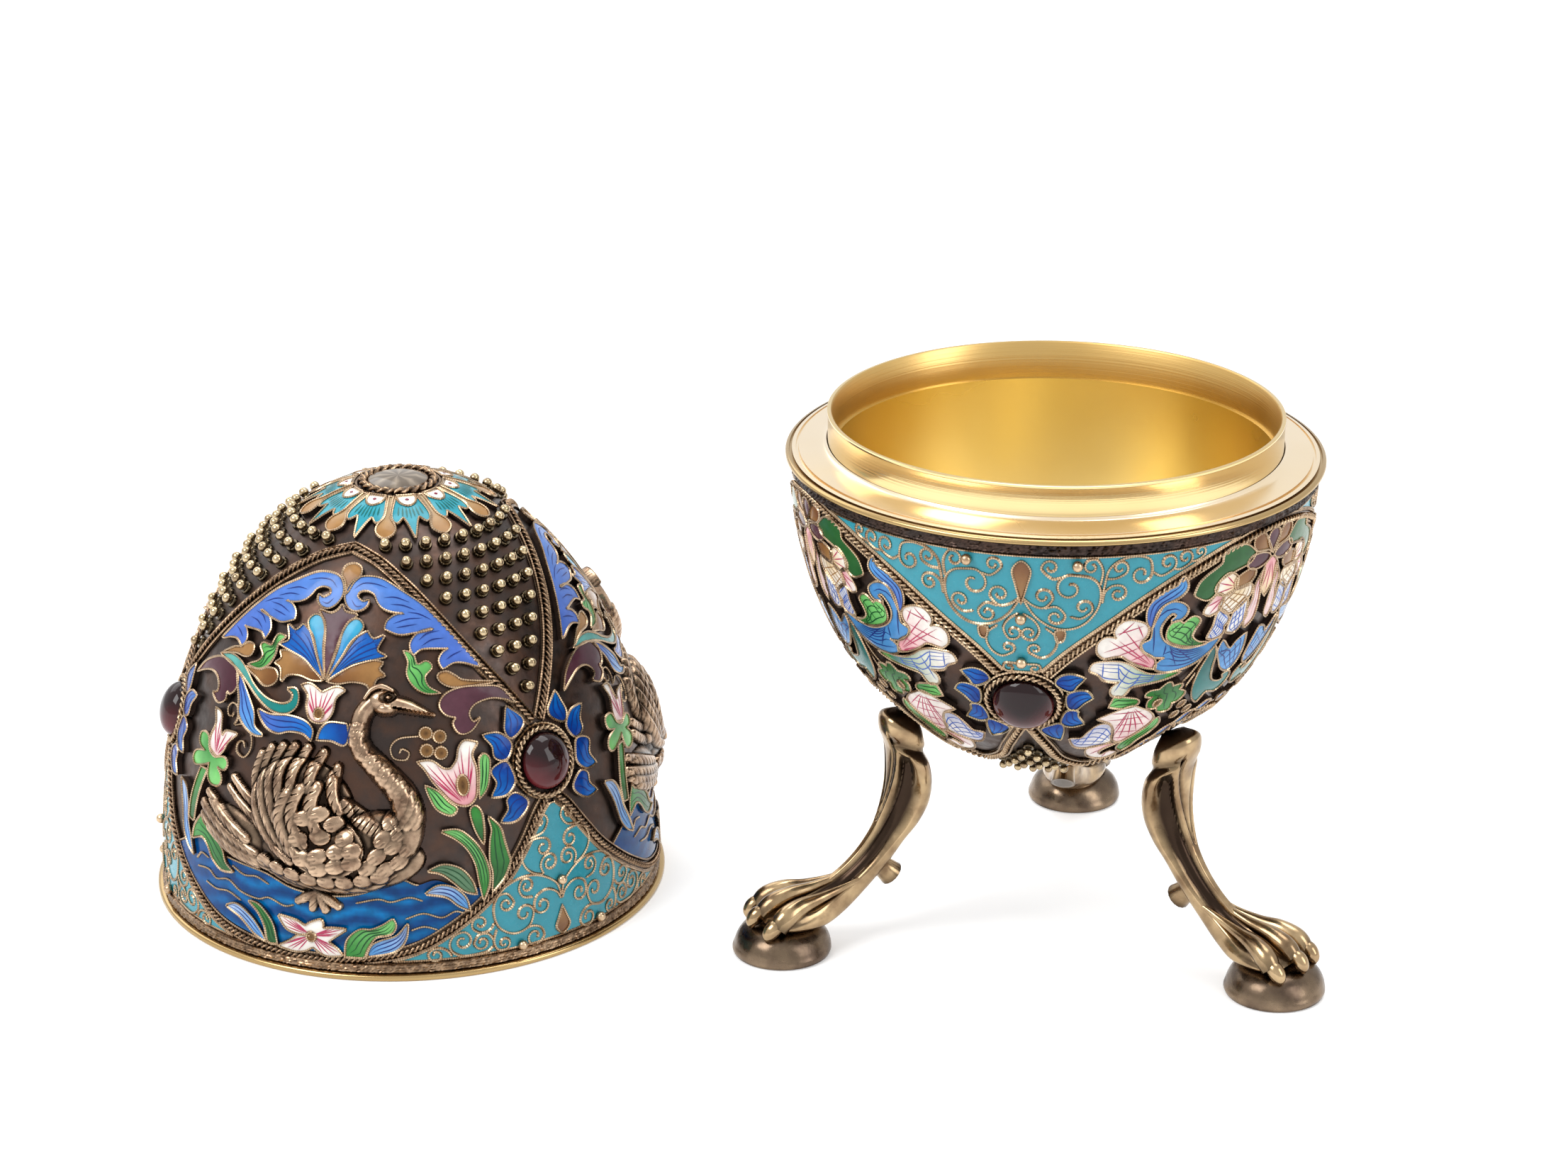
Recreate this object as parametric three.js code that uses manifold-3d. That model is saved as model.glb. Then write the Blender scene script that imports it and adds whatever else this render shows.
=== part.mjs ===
// An enamelled egg box on three paw legs: a footed bowl with a gilt collar, and its domed lid set down
// beside it. Millimetres, +Z up. Azimuths are degrees about +Z from -Y, and latitudes are degrees from a
// half's rim to its pole.
import * as THREE from 'three';
import { mergeVertices } from 'three/addons/utils/BufferGeometryUtils.js';
import Module from 'manifold-3d';

const wasm = await Module();
wasm.setup();

// Driving dimensions
const SHELL_RADIUS = 36.5; // outside of both silver shells at their rims
const SHELL_WALL = 1.0;
const LID_HEIGHT = 61.2; // from the lid's rim ring to the top of its shell
const LID_FULLNESS = 2.18; // 2 is a true ellipse, more is fuller at the shoulder
const BOWL_DEPTH = 45.2;
const BOWL_FULLNESS = 2.0;
const BOWL_RIM_Z = 71.2; // height of the bowl's rim above the table
const GAP = 0.3; // between a mounted piece and the shell that carries it

const LIP_OVERHANG = 1.5; // how far the flange and the lid's rim ring stand out from the shells
const RIM_THICKNESS = 0.9;
const COLLAR_RADIUS = 32.14;
const COLLAR_WALL = 0.74;
const COLLAR_HEIGHT = 5.6;
const LID_CLEARANCE = 0.36; // radial play of the lid's rim ring over the collar
const FLANGE_EDGE = 0.7; // thickness of the flange at its outer edge
const FLANGE_RISE = 1.1; // how far the flange climbs from its edge to the collar
const LINER_LIP = 0.4; // how far the liner stands in from the collar
const LINER_SEAT = 0.8; // height of the liner's mouth above the bowl's rim
const LINER_DEPTH = 40.0;
const LINER_WALL = 0.8;
const BAND_WIDTH = 1.6; // stippled bands next to both rims
const BAND_THICKNESS = 0.6;

const ENAMEL_THICKNESS = 0.6;
const ROPE_RADIUS = 0.5;
const ROPE_STEPS = 16;

const LID_STONE_LATITUDE = 26.3;
const LID_STONE_RADIUS = 3.3;
const LID_BEZEL_WIRE = 0.55;
const BOWL_STONE_LATITUDE = 32.4;
const BOWL_STONE_RADIUS = 4.2;
const BOWL_BEZEL_WIRE = 0.7;
const STONE_RISE = 2.8;
const PETAL_REACH = 3.2; // room left for the petals around each bezel

const MEDALLION_TOP = 65.2; // latitudes of the lid medallions and the bowl's flower panels
const WATER_LINE = 13.5;
const SPANDREL_REACH = 42; // azimuth from the middle of a turquoise spandrel to its tips
const PANEL_REACH = 43; // azimuth from the middle of a flower panel to its sides

const APEX_STONE_RADIUS = 4.0;
const APEX_WIRE = 0.6;
const ROSETTE_RADIUS = 13.4;

const LEG_LATITUDE = 56.0; // where the legs meet the bowl
const FOOT_REACH = 40.8; // from the egg's axis to the middle of a foot pad
const PAD_RADIUS = 7.27;
const PAD_HEIGHT = 4.6;
const PAW_RISE = 2.9; // height of the paw's middle above its pad
const TOE_LENGTH = 5.4; // how far the toes reach past the middle of the pad
const SHANK_WIDTH = 8.8;
const PAW_WIDTH = 10.4;
const KNOB_HALF = 3.9; // half height of the knob that joins a leg to the bowl
const LEG_MARGIN = 2.6; // bare silver between a knob and the border above it

const SECTORS = 3;
const SECTOR = 360 / SECTORS;
const BASE_TURN = -10.5; // azimuth of the bowl's front stone
const LID_TURN = -19; // azimuth of the lid's front medallion
const LID_ASIDE = 18.2; // table between the lid's rim and the bowl's flange, side to side
const LID_BACK = 14.05; // how far behind the bowl's axis the lid stands
const ROUND = 32; // segments of turned pieces

const finishes = {
  silver: [0x4a4038, 0.5, 0.9],
  gilt: [0xe0b85a, 0.25, 1.0],
  turquoise: [0x25b5bf, 0.2, 0.0],
  flowers: [0x5f8fc8, 0.25, 0.0],
  water: [0x1467b0, 0.15, 0.0],
  garnet: [0x4a0b14, 0.08, 0.0],
  rope: [0xa08050, 0.35, 1.0],
  swan: [0xa8743f, 0.35, 1.0],
  paw: [0x9a8048, 0.3, 1.0],
  pad: [0x5f5036, 0.4, 1.0],
  crystal: [0xb8b0a0, 0.2, 0.0],
};
const radians = THREE.MathUtils.degToRad;

// Geometry helpers
const spread = (from, to, count) =>
  Array.from({ length: count + 1 }, (_, i) => from + ((to - from) * i) / count);

// Steps that crowd towards the first value, for outlines that turn fastest there
const crowded = (from, to, count) => spread(0, 1, count).map((share) => from + (to - from) * share ** 1.6);

function volume(points, faces) {
  const corners = faces.map((face) => face.map((i) => points[i]));
  return corners.reduce((sum, [a, b, c]) => sum + a.dot(b.clone().cross(c)) / 6, 0);
}

// Joins shared corners, drops empty faces and turns the faces outward
function closed(geometry) {
  geometry.deleteAttribute('normal');
  geometry.deleteAttribute('uv');
  const welded = mergeVertices(geometry, 1e-4);
  const place = welded.attributes.position;
  const points = spread(0, place.count - 1, place.count - 1).map((i) =>
    new THREE.Vector3().fromBufferAttribute(place, i));
  const corners = Array.from(welded.index.array);
  const faces = spread(0, corners.length / 3 - 1, corners.length / 3 - 1)
    .map((i) => corners.slice(3 * i, 3 * i + 3))
    .filter(([a, b, c]) => a !== b && b !== c && c !== a);
  if (volume(points, faces) < 0) faces.forEach((face) => face.reverse());
  welded.setIndex(faces.flat());
  return welded;
}

function meshOf(points, faces) {
  const geometry = new THREE.BufferGeometry().setFromPoints(points);
  geometry.setIndex(faces.flat());
  return closed(geometry);
}

// Side faces between equal rings of points, with a flat fan on each end
function loft(rings) {
  const sides = rings[0].length;
  const centre = (ring) => ring.reduce((sum, p) => sum.add(p), new THREE.Vector3()).divideScalar(sides);
  const points = [...rings.flat(), centre(rings[0]), centre(rings.at(-1))];
  const first = points.length - 2;
  const last = points.length - 1;
  const faces = [];
  for (let j = 0; j < sides; j += 1) {
    const k = (j + 1) % sides;
    for (let i = 0; i + 1 < rings.length; i += 1) {
      const [a, b, c, d] = [i * sides + j, i * sides + k, (i + 1) * sides + k, (i + 1) * sides + j];
      faces.push([a, b, c], [a, c, d]);
    }
    const end = (rings.length - 1) * sides;
    faces.push([first, k, j], [last, end + j, end + k]);
  }
  return meshOf(points, faces);
}

function oval(centre, across, up, halfAcross, halfUp, sides) {
  return spread(0, 360, sides).slice(0, sides).map((angle) => centre.clone()
    .addScaledVector(across, halfAcross * Math.cos(radians(angle)))
    .addScaledVector(up, halfUp * Math.sin(radians(angle))));
}

// A body that runs along stations, each with a place, two directions and two half sizes
function limb(stations, sides) {
  return loft(stations.map(({ at, across, up, half, thick }) => oval(at, across, up, half, thick, sides)));
}

function turned(profile, segments = ROUND) {
  const points = profile.map(([radius, height]) => new THREE.Vector2(radius, height));
  return closed(new THREE.LatheGeometry(points, segments).rotateX(Math.PI / 2));
}

function turnedRing(profile, segments = ROUND) {
  return turned([...profile, profile[0]], segments);
}

const box = (inner, outer, low, high) => [[inner, low], [outer, low], [outer, high], [inner, high]];

function solid(geometry) {
  const { position } = geometry.attributes;
  return new wasm.Manifold(new wasm.Mesh({
    numProp: 3,
    vertProperties: new Float32Array(position.array),
    triVerts: new Uint32Array(geometry.index.array),
  }));
}

function geometryOf(body) {
  const { vertProperties, triVerts } = body.getMesh();
  const geometry = new THREE.BufferGeometry();
  geometry.setAttribute('position', new THREE.BufferAttribute(vertProperties, 3));
  geometry.setIndex(Array.from(triVerts));
  return closed(geometry);
}

const joined = (geometries) => geometries.map(solid).reduce((whole, body) => whole.add(body));

// One half of the egg: a surface of revolution from its rim to its pole
function eggHalf(radius, height, fullness, rimZ, upward) {
  const power = 2 / fullness;
  const offRim = 1e-3; // the slope is taken just off the rim, where its formula holds
  const meridian = (latitude, offset) => {
    const angle = radians(latitude);
    const out = radius * Math.cos(angle);
    const rise = height * Math.max(0, Math.sin(angle)) ** power;
    const slopeAngle = Math.max(angle, offRim);
    const slope = new THREE.Vector2(
      height * power * Math.sin(slopeAngle) ** (power - 1) * Math.cos(slopeAngle),
      radius * Math.sin(slopeAngle),
    ).normalize();
    return [out + offset * slope.x, rimZ + upward * (rise + offset * slope.y), slope];
  };
  const point = (azimuth, latitude, offset) => {
    const [out, z] = meridian(latitude, offset);
    const angle = radians(azimuth);
    return new THREE.Vector3(out * Math.sin(angle), -out * Math.cos(angle), z);
  };
  const normal = (azimuth, latitude) =>
    point(azimuth, latitude, 1).sub(point(azimuth, latitude, 0));
  // Millimetres of meridian and of parallel for each degree
  const scale = (latitude) => {
    const step = point(0, latitude + 0.5, 0).distanceTo(point(0, latitude - 0.5, 0));
    return { along: step, across: radians(meridian(latitude, 0)[0]) };
  };
  const latitudeAt = (rise) => THREE.MathUtils.radToDeg(Math.asin((rise / height) ** (1 / power)));
  return { meridian, point, normal, scale, latitudeAt };
}

const lidHalf = eggHalf(SHELL_RADIUS, LID_HEIGHT, LID_FULLNESS, RIM_THICKNESS, 1);
const bowlHalf = eggHalf(SHELL_RADIUS, BOWL_DEPTH, BOWL_FULLNESS, BOWL_RIM_Z, -1);

function shell(half, inside) {
  const latitudes = spread(0, 90, 7);
  const outer = latitudes.map((latitude) => half.meridian(latitude, 0).slice(0, 2));
  const inner = latitudes.map((latitude) => inside.meridian(latitude, 0).slice(0, 2)).reverse();
  const onAxis = ([radius, z]) => [radius < 1e-6 ? 0 : radius, z];
  return turned([...outer.map(onAxis), ...inner.map(onAxis), outer[0]]);
}

// A thin plate over the shell, as wide at each latitude as halfWidth says, in degrees
function plate(half, low, high, rows, columns, halfWidth) {
  const layer = (offset) => crowded(low, high, rows).flatMap((latitude) =>
    spread(-1, 1, columns).map((side) => half.point(side * halfWidth(latitude), latitude, offset)));
  const points = [...layer(GAP + ENAMEL_THICKNESS), ...layer(GAP)];
  const under = points.length / 2;
  const at = (i, j) => i * (columns + 1) + j;
  const faces = [];
  const wall = (a, b) => faces.push([a, a + under, b], [b, a + under, b + under]);
  for (let i = 0; i < rows; i += 1) {
    for (let j = 0; j < columns; j += 1) {
      const [a, b, c, d] = [at(i, j), at(i, j + 1), at(i + 1, j + 1), at(i + 1, j)];
      faces.push([a, b, c], [a, c, d]);
      faces.push([a + under, c + under, b + under], [a + under, d + under, c + under]);
    }
    wall(at(i + 1, 0), at(i, 0));
    wall(at(i, columns), at(i + 1, columns));
  }
  for (let j = 0; j < columns; j += 1) {
    wall(at(0, j), at(0, j + 1));
    wall(at(rows, j + 1), at(rows, j));
  }
  return meshOf(points, faces);
}

// A twisted border wire laid on the shell along [azimuth, latitude] places
function rope(half, places) {
  const lift = GAP + ROPE_RADIUS;
  const path = new THREE.CatmullRomCurve3(places.map(([azimuth, latitude]) =>
    half.point(azimuth, latitude, lift)));
  const section = new THREE.Shape();
  section.absarc(0, 0, ROPE_RADIUS, 0, 2 * Math.PI);
  return closed(new THREE.ExtrudeGeometry(section, {
    steps: ROPE_STEPS, curveSegments: 3, extrudePath: path, bevelEnabled: false,
  }));
}

// Outlines of the panels, in degrees of azimuth from the panel's middle
const BORDER = ROPE_RADIUS + 2 * GAP;
const borderFromRim = BAND_WIDTH + BORDER;
const medallionBottom = lidHalf.latitudeAt(borderFromRim);
const bowlArchTop = bowlHalf.latitudeAt(borderFromRim);
const ratio = (value, from, to) => THREE.MathUtils.clamp((value - from) / (to - from), 0, 1);

function medallionWidth(latitude) {
  if (latitude >= LID_STONE_LATITUDE) {
    const climb = ratio(latitude, LID_STONE_LATITUDE, MEDALLION_TOP);
    return (SECTOR / 2) * (1 - 0.43 * climb - 0.57 * climb ** 3);
  }
  const fall = ratio(latitude, LID_STONE_LATITUDE, medallionBottom);
  return (SECTOR / 2) * Math.sqrt(1 - fall ** 2);
}

function bowlArchWidth(latitude) {
  return (SECTOR / 2) * ratio(latitude, bowlArchTop, BOWL_STONE_LATITUDE) ** (1 / 2.4);
}

// How far a slanting border reaches sideways, in degrees
function borderWidth(half, outline, latitude) {
  const { along, across } = half.scale(latitude);
  const lean = ((outline(latitude + 0.5) - outline(latitude - 0.5)) * across) / along;
  return (BORDER * Math.hypot(1, lean)) / across;
}

// Room kept clear of a round setting at the panel's side, in degrees
function settingWidth(half, stoneLatitude, radius, latitude) {
  const { along, across } = half.scale(latitude);
  const away = (latitude - stoneLatitude) * along;
  return Math.sqrt(Math.max(0, radius ** 2 - away ** 2)) / across;
}

const bezelReach = (stone, wire) => stone + GAP + 2 * wire;
const lidBezelReach = bezelReach(LID_STONE_RADIUS, LID_BEZEL_WIRE);
const bowlBezelReach = bezelReach(BOWL_STONE_RADIUS, BOWL_BEZEL_WIRE);

const NARROWEST = 0.6; // degrees, keeps a pointed end from closing to nothing

function inside(half, outline, stoneLatitude, reach) {
  return (latitude) => Math.max(NARROWEST, Math.min(
    outline(latitude) - borderWidth(half, outline, latitude),
    SECTOR / 2 - settingWidth(half, stoneLatitude, reach + PETAL_REACH, latitude),
    PANEL_REACH,
  ));
}

function outside(half, outline) {
  return (latitude) => THREE.MathUtils.clamp(
    SECTOR / 2 - outline(latitude) - borderWidth(half, outline, latitude), NARROWEST, SPANDREL_REACH);
}

// Assembly helpers
const egg = new THREE.Group();
const materials = Object.fromEntries(Object.entries(finishes).map(([name, [color, roughness, metalness]]) =>
  [name, new THREE.MeshStandardMaterial({ color, roughness, metalness })]));

function add(group, name, geometry, finish) {
  const mesh = new THREE.Mesh(geometry, materials[finish]);
  mesh.name = name;
  group.add(mesh);
  return mesh;
}

// Adds one copy of a piece to each sector, turned by the given azimuth
function addRound(group, name, geometry, finish, azimuth) {
  for (let i = 0; i < SECTORS; i += 1) {
    const turn = new THREE.Group();
    turn.rotation.z = radians(azimuth + i * SECTOR);
    group.add(turn);
    add(turn, `${name}_${i + 1}`, geometry, finish);
  }
}

// A piece modelled on the XY plane, seated on the shell at the sector's front
function seated(geometry, half, latitude, lift) {
  const up = new THREE.Vector3(0, 0, 1);
  const turn = new THREE.Quaternion().setFromUnitVectors(up, half.normal(0, latitude));
  const place = half.point(0, latitude, lift);
  return geometry.applyQuaternion(turn).translate(place.x, place.y, place.z);
}

function cabochon(radius) {
  const arc = spread(0, 90, 4).map((angle) =>
    [radius * Math.cos(radians(angle)), STONE_RISE * Math.sin(radians(angle))]);
  arc[arc.length - 1][0] = 0;
  return turned([[0, 0], ...arc], 12);
}

function addStones(group, name, half, latitude, radius, wire, azimuth) {
  const setting = closed(new THREE.TorusGeometry(radius + GAP + wire, wire, 5, 16));
  addRound(group, `${name}_garnet`, seated(cabochon(radius), half, latitude, GAP), 'garnet', azimuth);
  addRound(group, `${name}_bezel`, seated(setting, half, latitude, GAP + wire), 'rope', azimuth);
}

// Bowl, liner, collar and flange
const lipRadius = SHELL_RADIUS + LIP_OVERHANG;
const collarBore = COLLAR_RADIUS - COLLAR_WALL;
const linerRimZ = BOWL_RIM_Z + LINER_SEAT;
const bandInside = SHELL_RADIUS + GAP;
const bandOutside = bandInside + BAND_THICKNESS;

function addBowl(base) {
  const inner = SHELL_RADIUS - SHELL_WALL;
  add(base, 'bowl_shell', shell(bowlHalf,
    eggHalf(inner, BOWL_DEPTH - SHELL_WALL, BOWL_FULLNESS, BOWL_RIM_Z, -1)), 'silver');
  const linerBore = collarBore - LINER_LIP;
  const linerHalf = eggHalf(linerBore, LINER_DEPTH, BOWL_FULLNESS, linerRimZ, -1);
  const linerOutside =
    eggHalf(linerBore + LINER_WALL, LINER_DEPTH + LINER_WALL, BOWL_FULLNESS, linerRimZ, -1);
  add(base, 'bowl_liner', shell(linerOutside, linerHalf), 'gilt');
  add(base, 'collar_ring', turnedRing(
    box(collarBore, COLLAR_RADIUS, linerRimZ, linerRimZ + COLLAR_HEIGHT)), 'gilt');
  const flangeBore = COLLAR_RADIUS + GAP;
  const step = lipRadius - LIP_OVERHANG;
  add(base, 'flange_ring', turnedRing([
    [flangeBore, BOWL_RIM_Z], [lipRadius, BOWL_RIM_Z], [lipRadius, BOWL_RIM_Z + FLANGE_EDGE],
    [step, BOWL_RIM_Z + FLANGE_EDGE + FLANGE_RISE / 3], [flangeBore, BOWL_RIM_Z + FLANGE_EDGE + FLANGE_RISE],
  ]), 'gilt');
  add(base, 'bowl_edge_band', turnedRing(
    box(bandInside, bandOutside, BOWL_RIM_Z - BAND_WIDTH, BOWL_RIM_Z)), 'silver');
}

// Enamel and borders of the bowl: panels lie between the stones, each above a leg
function addBowlDecoration(base) {
  const panelTurn = BASE_TURN + SECTOR / 2;
  addStones(base, 'bowl', bowlHalf, BOWL_STONE_LATITUDE, BOWL_STONE_RADIUS, BOWL_BEZEL_WIRE, BASE_TURN);
  const { along } = bowlHalf.scale(BOWL_STONE_LATITUDE);
  const bezelTop = BOWL_STONE_LATITUDE - (bowlBezelReach + BORDER) / along;
  const bandLatitude = bowlHalf.latitudeAt(BAND_WIDTH + GAP);
  addRound(base, 'bowl_turquoise', plate(bowlHalf, bandLatitude + 0.3, bezelTop, 7, 10,
    outside(bowlHalf, bowlArchWidth)), 'turquoise', BASE_TURN);
  const legAlong = bowlHalf.scale(LEG_LATITUDE).along;
  const crest = LEG_LATITUDE - (KNOB_HALF + LEG_MARGIN + BORDER) / legAlong;
  const panelBottom = crest - (BORDER + GAP) / legAlong;
  addRound(base, 'bowl_flower_enamel', plate(bowlHalf, bandLatitude + 3, panelBottom, 7, 11,
    inside(bowlHalf, bowlArchWidth, BOWL_STONE_LATITUDE, bowlBezelReach)), 'flowers', panelTurn);
  const side = crowded(bowlArchTop, bezelTop, 7).reverse()
    .map((latitude) => [-bowlArchWidth(latitude), latitude]);
  const otherSide = side.slice(0, -1).map(([azimuth, latitude]) => [-azimuth, latitude]).reverse();
  addRound(base, 'bowl_arch_rope', rope(bowlHalf, [...side, ...otherSide]), 'rope', panelTurn);
  const bezelFoot = BOWL_STONE_LATITUDE + (bowlBezelReach + BORDER) / along;
  const lower = [[-56, bezelFoot], [-53, bezelFoot + 6], [-48, bezelFoot + 12.5], [-36, bezelFoot + 15.5],
    [-26, LEG_LATITUDE], [-17, crest + 5.5], [-8, crest + 1.2], [0, crest]];
  const lowerOther = lower.slice(0, -1).map(([azimuth, latitude]) => [-azimuth, latitude]).reverse();
  addRound(base, 'bowl_lower_rope', rope(bowlHalf, [...lower, ...lowerOther]), 'rope', panelTurn);
}

// A foot pad's profile, grown by a clearance where a paw is cut to sit on it
function padProfile(grow) {
  const dome = spread(20, 70, 3).map((angle) => [
    (PAD_RADIUS + grow) * Math.cos(radians(angle)) ** 0.7,
    (PAD_HEIGHT + grow) * Math.sin(radians(angle)) ** 0.8,
  ]);
  return [[0, 0], [PAD_RADIUS + grow, 0], ...dome, [0, PAD_HEIGHT + grow]];
}

// A cast paw leg. Stations are shares of the way outward to the pad, and of the height up to the bowl.
function legGeometry() {
  const [topOut, topZ, slope] = bowlHalf.meridian(LEG_LATITUDE, GAP);
  const pawZ = PAD_HEIGHT + PAW_RISE;
  const place = (out, rise) => new THREE.Vector3(
    0, -(topOut + out * (FOOT_REACH - topOut)), pawZ + rise * (topZ - pawZ));
  const across = new THREE.Vector3(1, 0, 0);
  const outward = new THREE.Vector3(0, -slope.x, -slope.y);
  const knobRise = 2.4;
  const knob = place(0, 1).addScaledVector(outward, knobRise);
  const shank = [
    [place(0, 1), 0.42, 3.4], [knob, 0.5, KNOB_HALF], [place(0.02, 0.78), 0.44, 3.5],
    [place(0.03, 0.59), 0.37, 3.1], [place(0.11, 0.41), 0.31, 2.7], [place(0.26, 0.22), 0.27, 2.4],
    [place(0.44, 0.1), 0.3, 2.6], [place(0.71, 0.01), 0.45, 2.8], [place(0.98, 0), 0.56, 2.3],
  ];
  const directions = shank.map((_, i) => {
    const from = shank[Math.max(0, i - 1)][0];
    const to = shank[Math.min(shank.length - 1, i + 1)][0];
    return to.clone().sub(from).normalize();
  });
  directions[0].copy(outward);
  const stations = shank.map(([at, width, thick], i) => ({
    at, across, up: directions[i].clone().cross(across), half: width * SHANK_WIDTH, thick,
  }));
  const toe = (side) => limb([0, 0.55, 1].map((along, i) => ({
    at: place(0.9, 0).add(new THREE.Vector3(
      side * (PAW_WIDTH / 2) * (0.55 + 0.2 * along),
      -along * (TOE_LENGTH + 0.1 * (FOOT_REACH - topOut)) * (side === 0 ? 1 : 0.85),
      -0.9 * along,
    )),
    across,
    up: new THREE.Vector3(0, 0, 1),
    half: [1.7, 1.7, 0.7][i],
    thick: [1.8, 1.7, 0.7][i],
  })), 7);
  const spur = limb([[0.34, 0.16, 1.5], [0.16, 0.11, 1.2], [0.06, 0.07, 0.5]].map(([out, rise, half]) => ({
    at: place(out, rise), across, up: new THREE.Vector3(0, 0, 1), half, thick: half,
  })), 7);
  const pad = turned(padProfile(GAP), 16).translate(0, -FOOT_REACH, 0);
  const leg = joined([limb(stations, 10), ...[-1, 0, 1].map(toe), spur]);
  return geometryOf(leg.subtract(solid(pad)));
}

function addLegs(base) {
  const turn = BASE_TURN + SECTOR / 2;
  addRound(base, 'leg', legGeometry(), 'paw', turn);
  addRound(base, 'foot_pad', turned(padProfile(0), 16).translate(0, -FOOT_REACH, 0), 'pad', turn);
}

// Lid shell, rim ring and the rosette at its top
function addLid(lid) {
  const inner = SHELL_RADIUS - SHELL_WALL;
  add(lid, 'lid_shell', shell(lidHalf,
    eggHalf(inner, LID_HEIGHT - SHELL_WALL, LID_FULLNESS, RIM_THICKNESS, 1)), 'silver');
  add(lid, 'lid_rim_ring', turnedRing(
    box(COLLAR_RADIUS + LID_CLEARANCE, lipRadius, 0, RIM_THICKNESS)), 'gilt');
  add(lid, 'lid_edge_band', turnedRing(
    box(bandInside, bandOutside, RIM_THICKNESS, RIM_THICKNESS + BAND_WIDTH)), 'silver');
  const topZ = RIM_THICKNESS + LID_HEIGHT;
  const ringRadius = APEX_STONE_RADIUS + GAP + APEX_WIRE;
  const latitudeOut = (radius) => THREE.MathUtils.radToDeg(Math.acos(radius / SHELL_RADIUS));
  const ringZ = lidHalf.meridian(latitudeOut(ringRadius), GAP + APEX_WIRE)[1];
  add(lid, 'apex_ring', closed(new THREE.TorusGeometry(ringRadius, APEX_WIRE, 6, 24)
    .translate(0, 0, ringZ)), 'rope');
  add(lid, 'apex_stone', turned([[0, topZ + GAP], [APEX_STONE_RADIUS, topZ + GAP],
    [APEX_STONE_RADIUS - 0.6, ringZ], [0, ringZ + GAP]], 20), 'crystal');
  const rosette = spread(latitudeOut(ROSETTE_RADIUS), latitudeOut(ringRadius + APEX_WIRE + GAP), 2);
  const layer = (offset) => rosette.map((latitude) => lidHalf.meridian(latitude, offset).slice(0, 2));
  const face = layer(GAP + ENAMEL_THICKNESS).reverse();
  add(lid, 'apex_rosette', turnedRing([...layer(GAP), ...face]), 'turquoise');
}

// Enamel and borders of the lid: medallions lie between the stones
function addLidDecoration(lid) {
  const stoneTurn = LID_TURN + SECTOR / 2;
  addStones(lid, 'lid', lidHalf, LID_STONE_LATITUDE, LID_STONE_RADIUS, LID_BEZEL_WIRE, stoneTurn);
  const { along } = lidHalf.scale(LID_STONE_LATITUDE);
  const reach = (lidBezelReach + BORDER) / along;
  const bandLatitude = lidHalf.latitudeAt(BAND_WIDTH + GAP);
  const within = inside(lidHalf, medallionWidth, LID_STONE_LATITUDE, lidBezelReach);
  addRound(lid, 'lid_turquoise', plate(lidHalf, bandLatitude + 2, LID_STONE_LATITUDE - reach, 6, 10,
    outside(lidHalf, medallionWidth)), 'turquoise', stoneTurn);
  addRound(lid, 'lid_water_enamel', plate(lidHalf, medallionBottom + 2, WATER_LINE, 3, 11, within),
    'water', LID_TURN);
  addRound(lid, 'lid_flower_enamel', plate(lidHalf, WATER_LINE + 0.5, MEDALLION_TOP - 4, 8, 12, within),
    'flowers', LID_TURN);
  const arch = (latitudes) => latitudes.map((latitude) => [-medallionWidth(latitude), latitude]);
  const mirrored = (side) => side.slice(0, -1).map(([azimuth, latitude]) => [-azimuth, latitude]).reverse();
  const upper = arch(crowded(MEDALLION_TOP, LID_STONE_LATITUDE + reach, 6).reverse());
  const lower = arch(crowded(medallionBottom, LID_STONE_LATITUDE - reach, 6).reverse());
  addRound(lid, 'lid_arch_rope', rope(lidHalf, [...upper, ...mirrored(upper)]), 'rope', LID_TURN);
  addRound(lid, 'lid_lower_rope', rope(lidHalf, [...lower, ...mirrored(lower)]), 'rope', LID_TURN);
  addRound(lid, 'swan', swanGeometry(), 'swan', LID_TURN);
}

// A swan in relief over the medallion. Stations are [sideways, height, half width, half thickness].
function swanGeometry() {
  const lift = GAP + ENAMEL_THICKNESS + GAP;
  const onMedallion = (sideways, height, offset) => {
    const latitude = lidHalf.latitudeAt(height);
    return [sideways / lidHalf.scale(latitude).across, latitude, offset];
  };
  const relief = (shape, sides) => {
    const places = shape.map(([sideways, height, , thick]) => onMedallion(sideways, height, lift + thick));
    const path = places.map((place) => lidHalf.point(...place));
    return limb(shape.map(([, , half, thick], i) => {
      const from = path[Math.max(0, i - 1)];
      const to = path[Math.min(path.length - 1, i + 1)];
      const up = lidHalf.normal(places[i][0], places[i][1]);
      const across = to.clone().sub(from).normalize().cross(up).normalize();
      return { at: path[i], across, up, half, thick };
    }), sides);
  };
  const body = relief([[-18.5, 20.8, 0.8, 0.5], [-13, 18, 2.6, 0.9], [-5, 17, 4.6, 1.5], [4, 17, 5.2, 1.9],
    [11, 18.6, 4.6, 1.9], [15.5, 21.8, 2.4, 1.3]], 10);
  const wing = relief([[7, 20, 3, 1.9], [1, 23.5, 5, 1.8], [-3.5, 27.5, 4.6, 1.2],
    [-5.5, 31, 2.4, 0.6]], 8);
  const neck = relief([[12, 20.5, 2.8, 1.6], [16, 24.5, 2.1, 1.4], [14.4, 28.6, 1.7, 1.3],
    [10, 32.2, 1.5, 1.2], [8.2, 35.6, 1.5, 1.2], [9.6, 38.6, 1.7, 1.2], [12, 38.8, 1.5, 1.1],
    [16.4, 37.2, 0.5, 0.5]], 8);
  return geometryOf(joined([body, wing, neck]));
}

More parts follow.
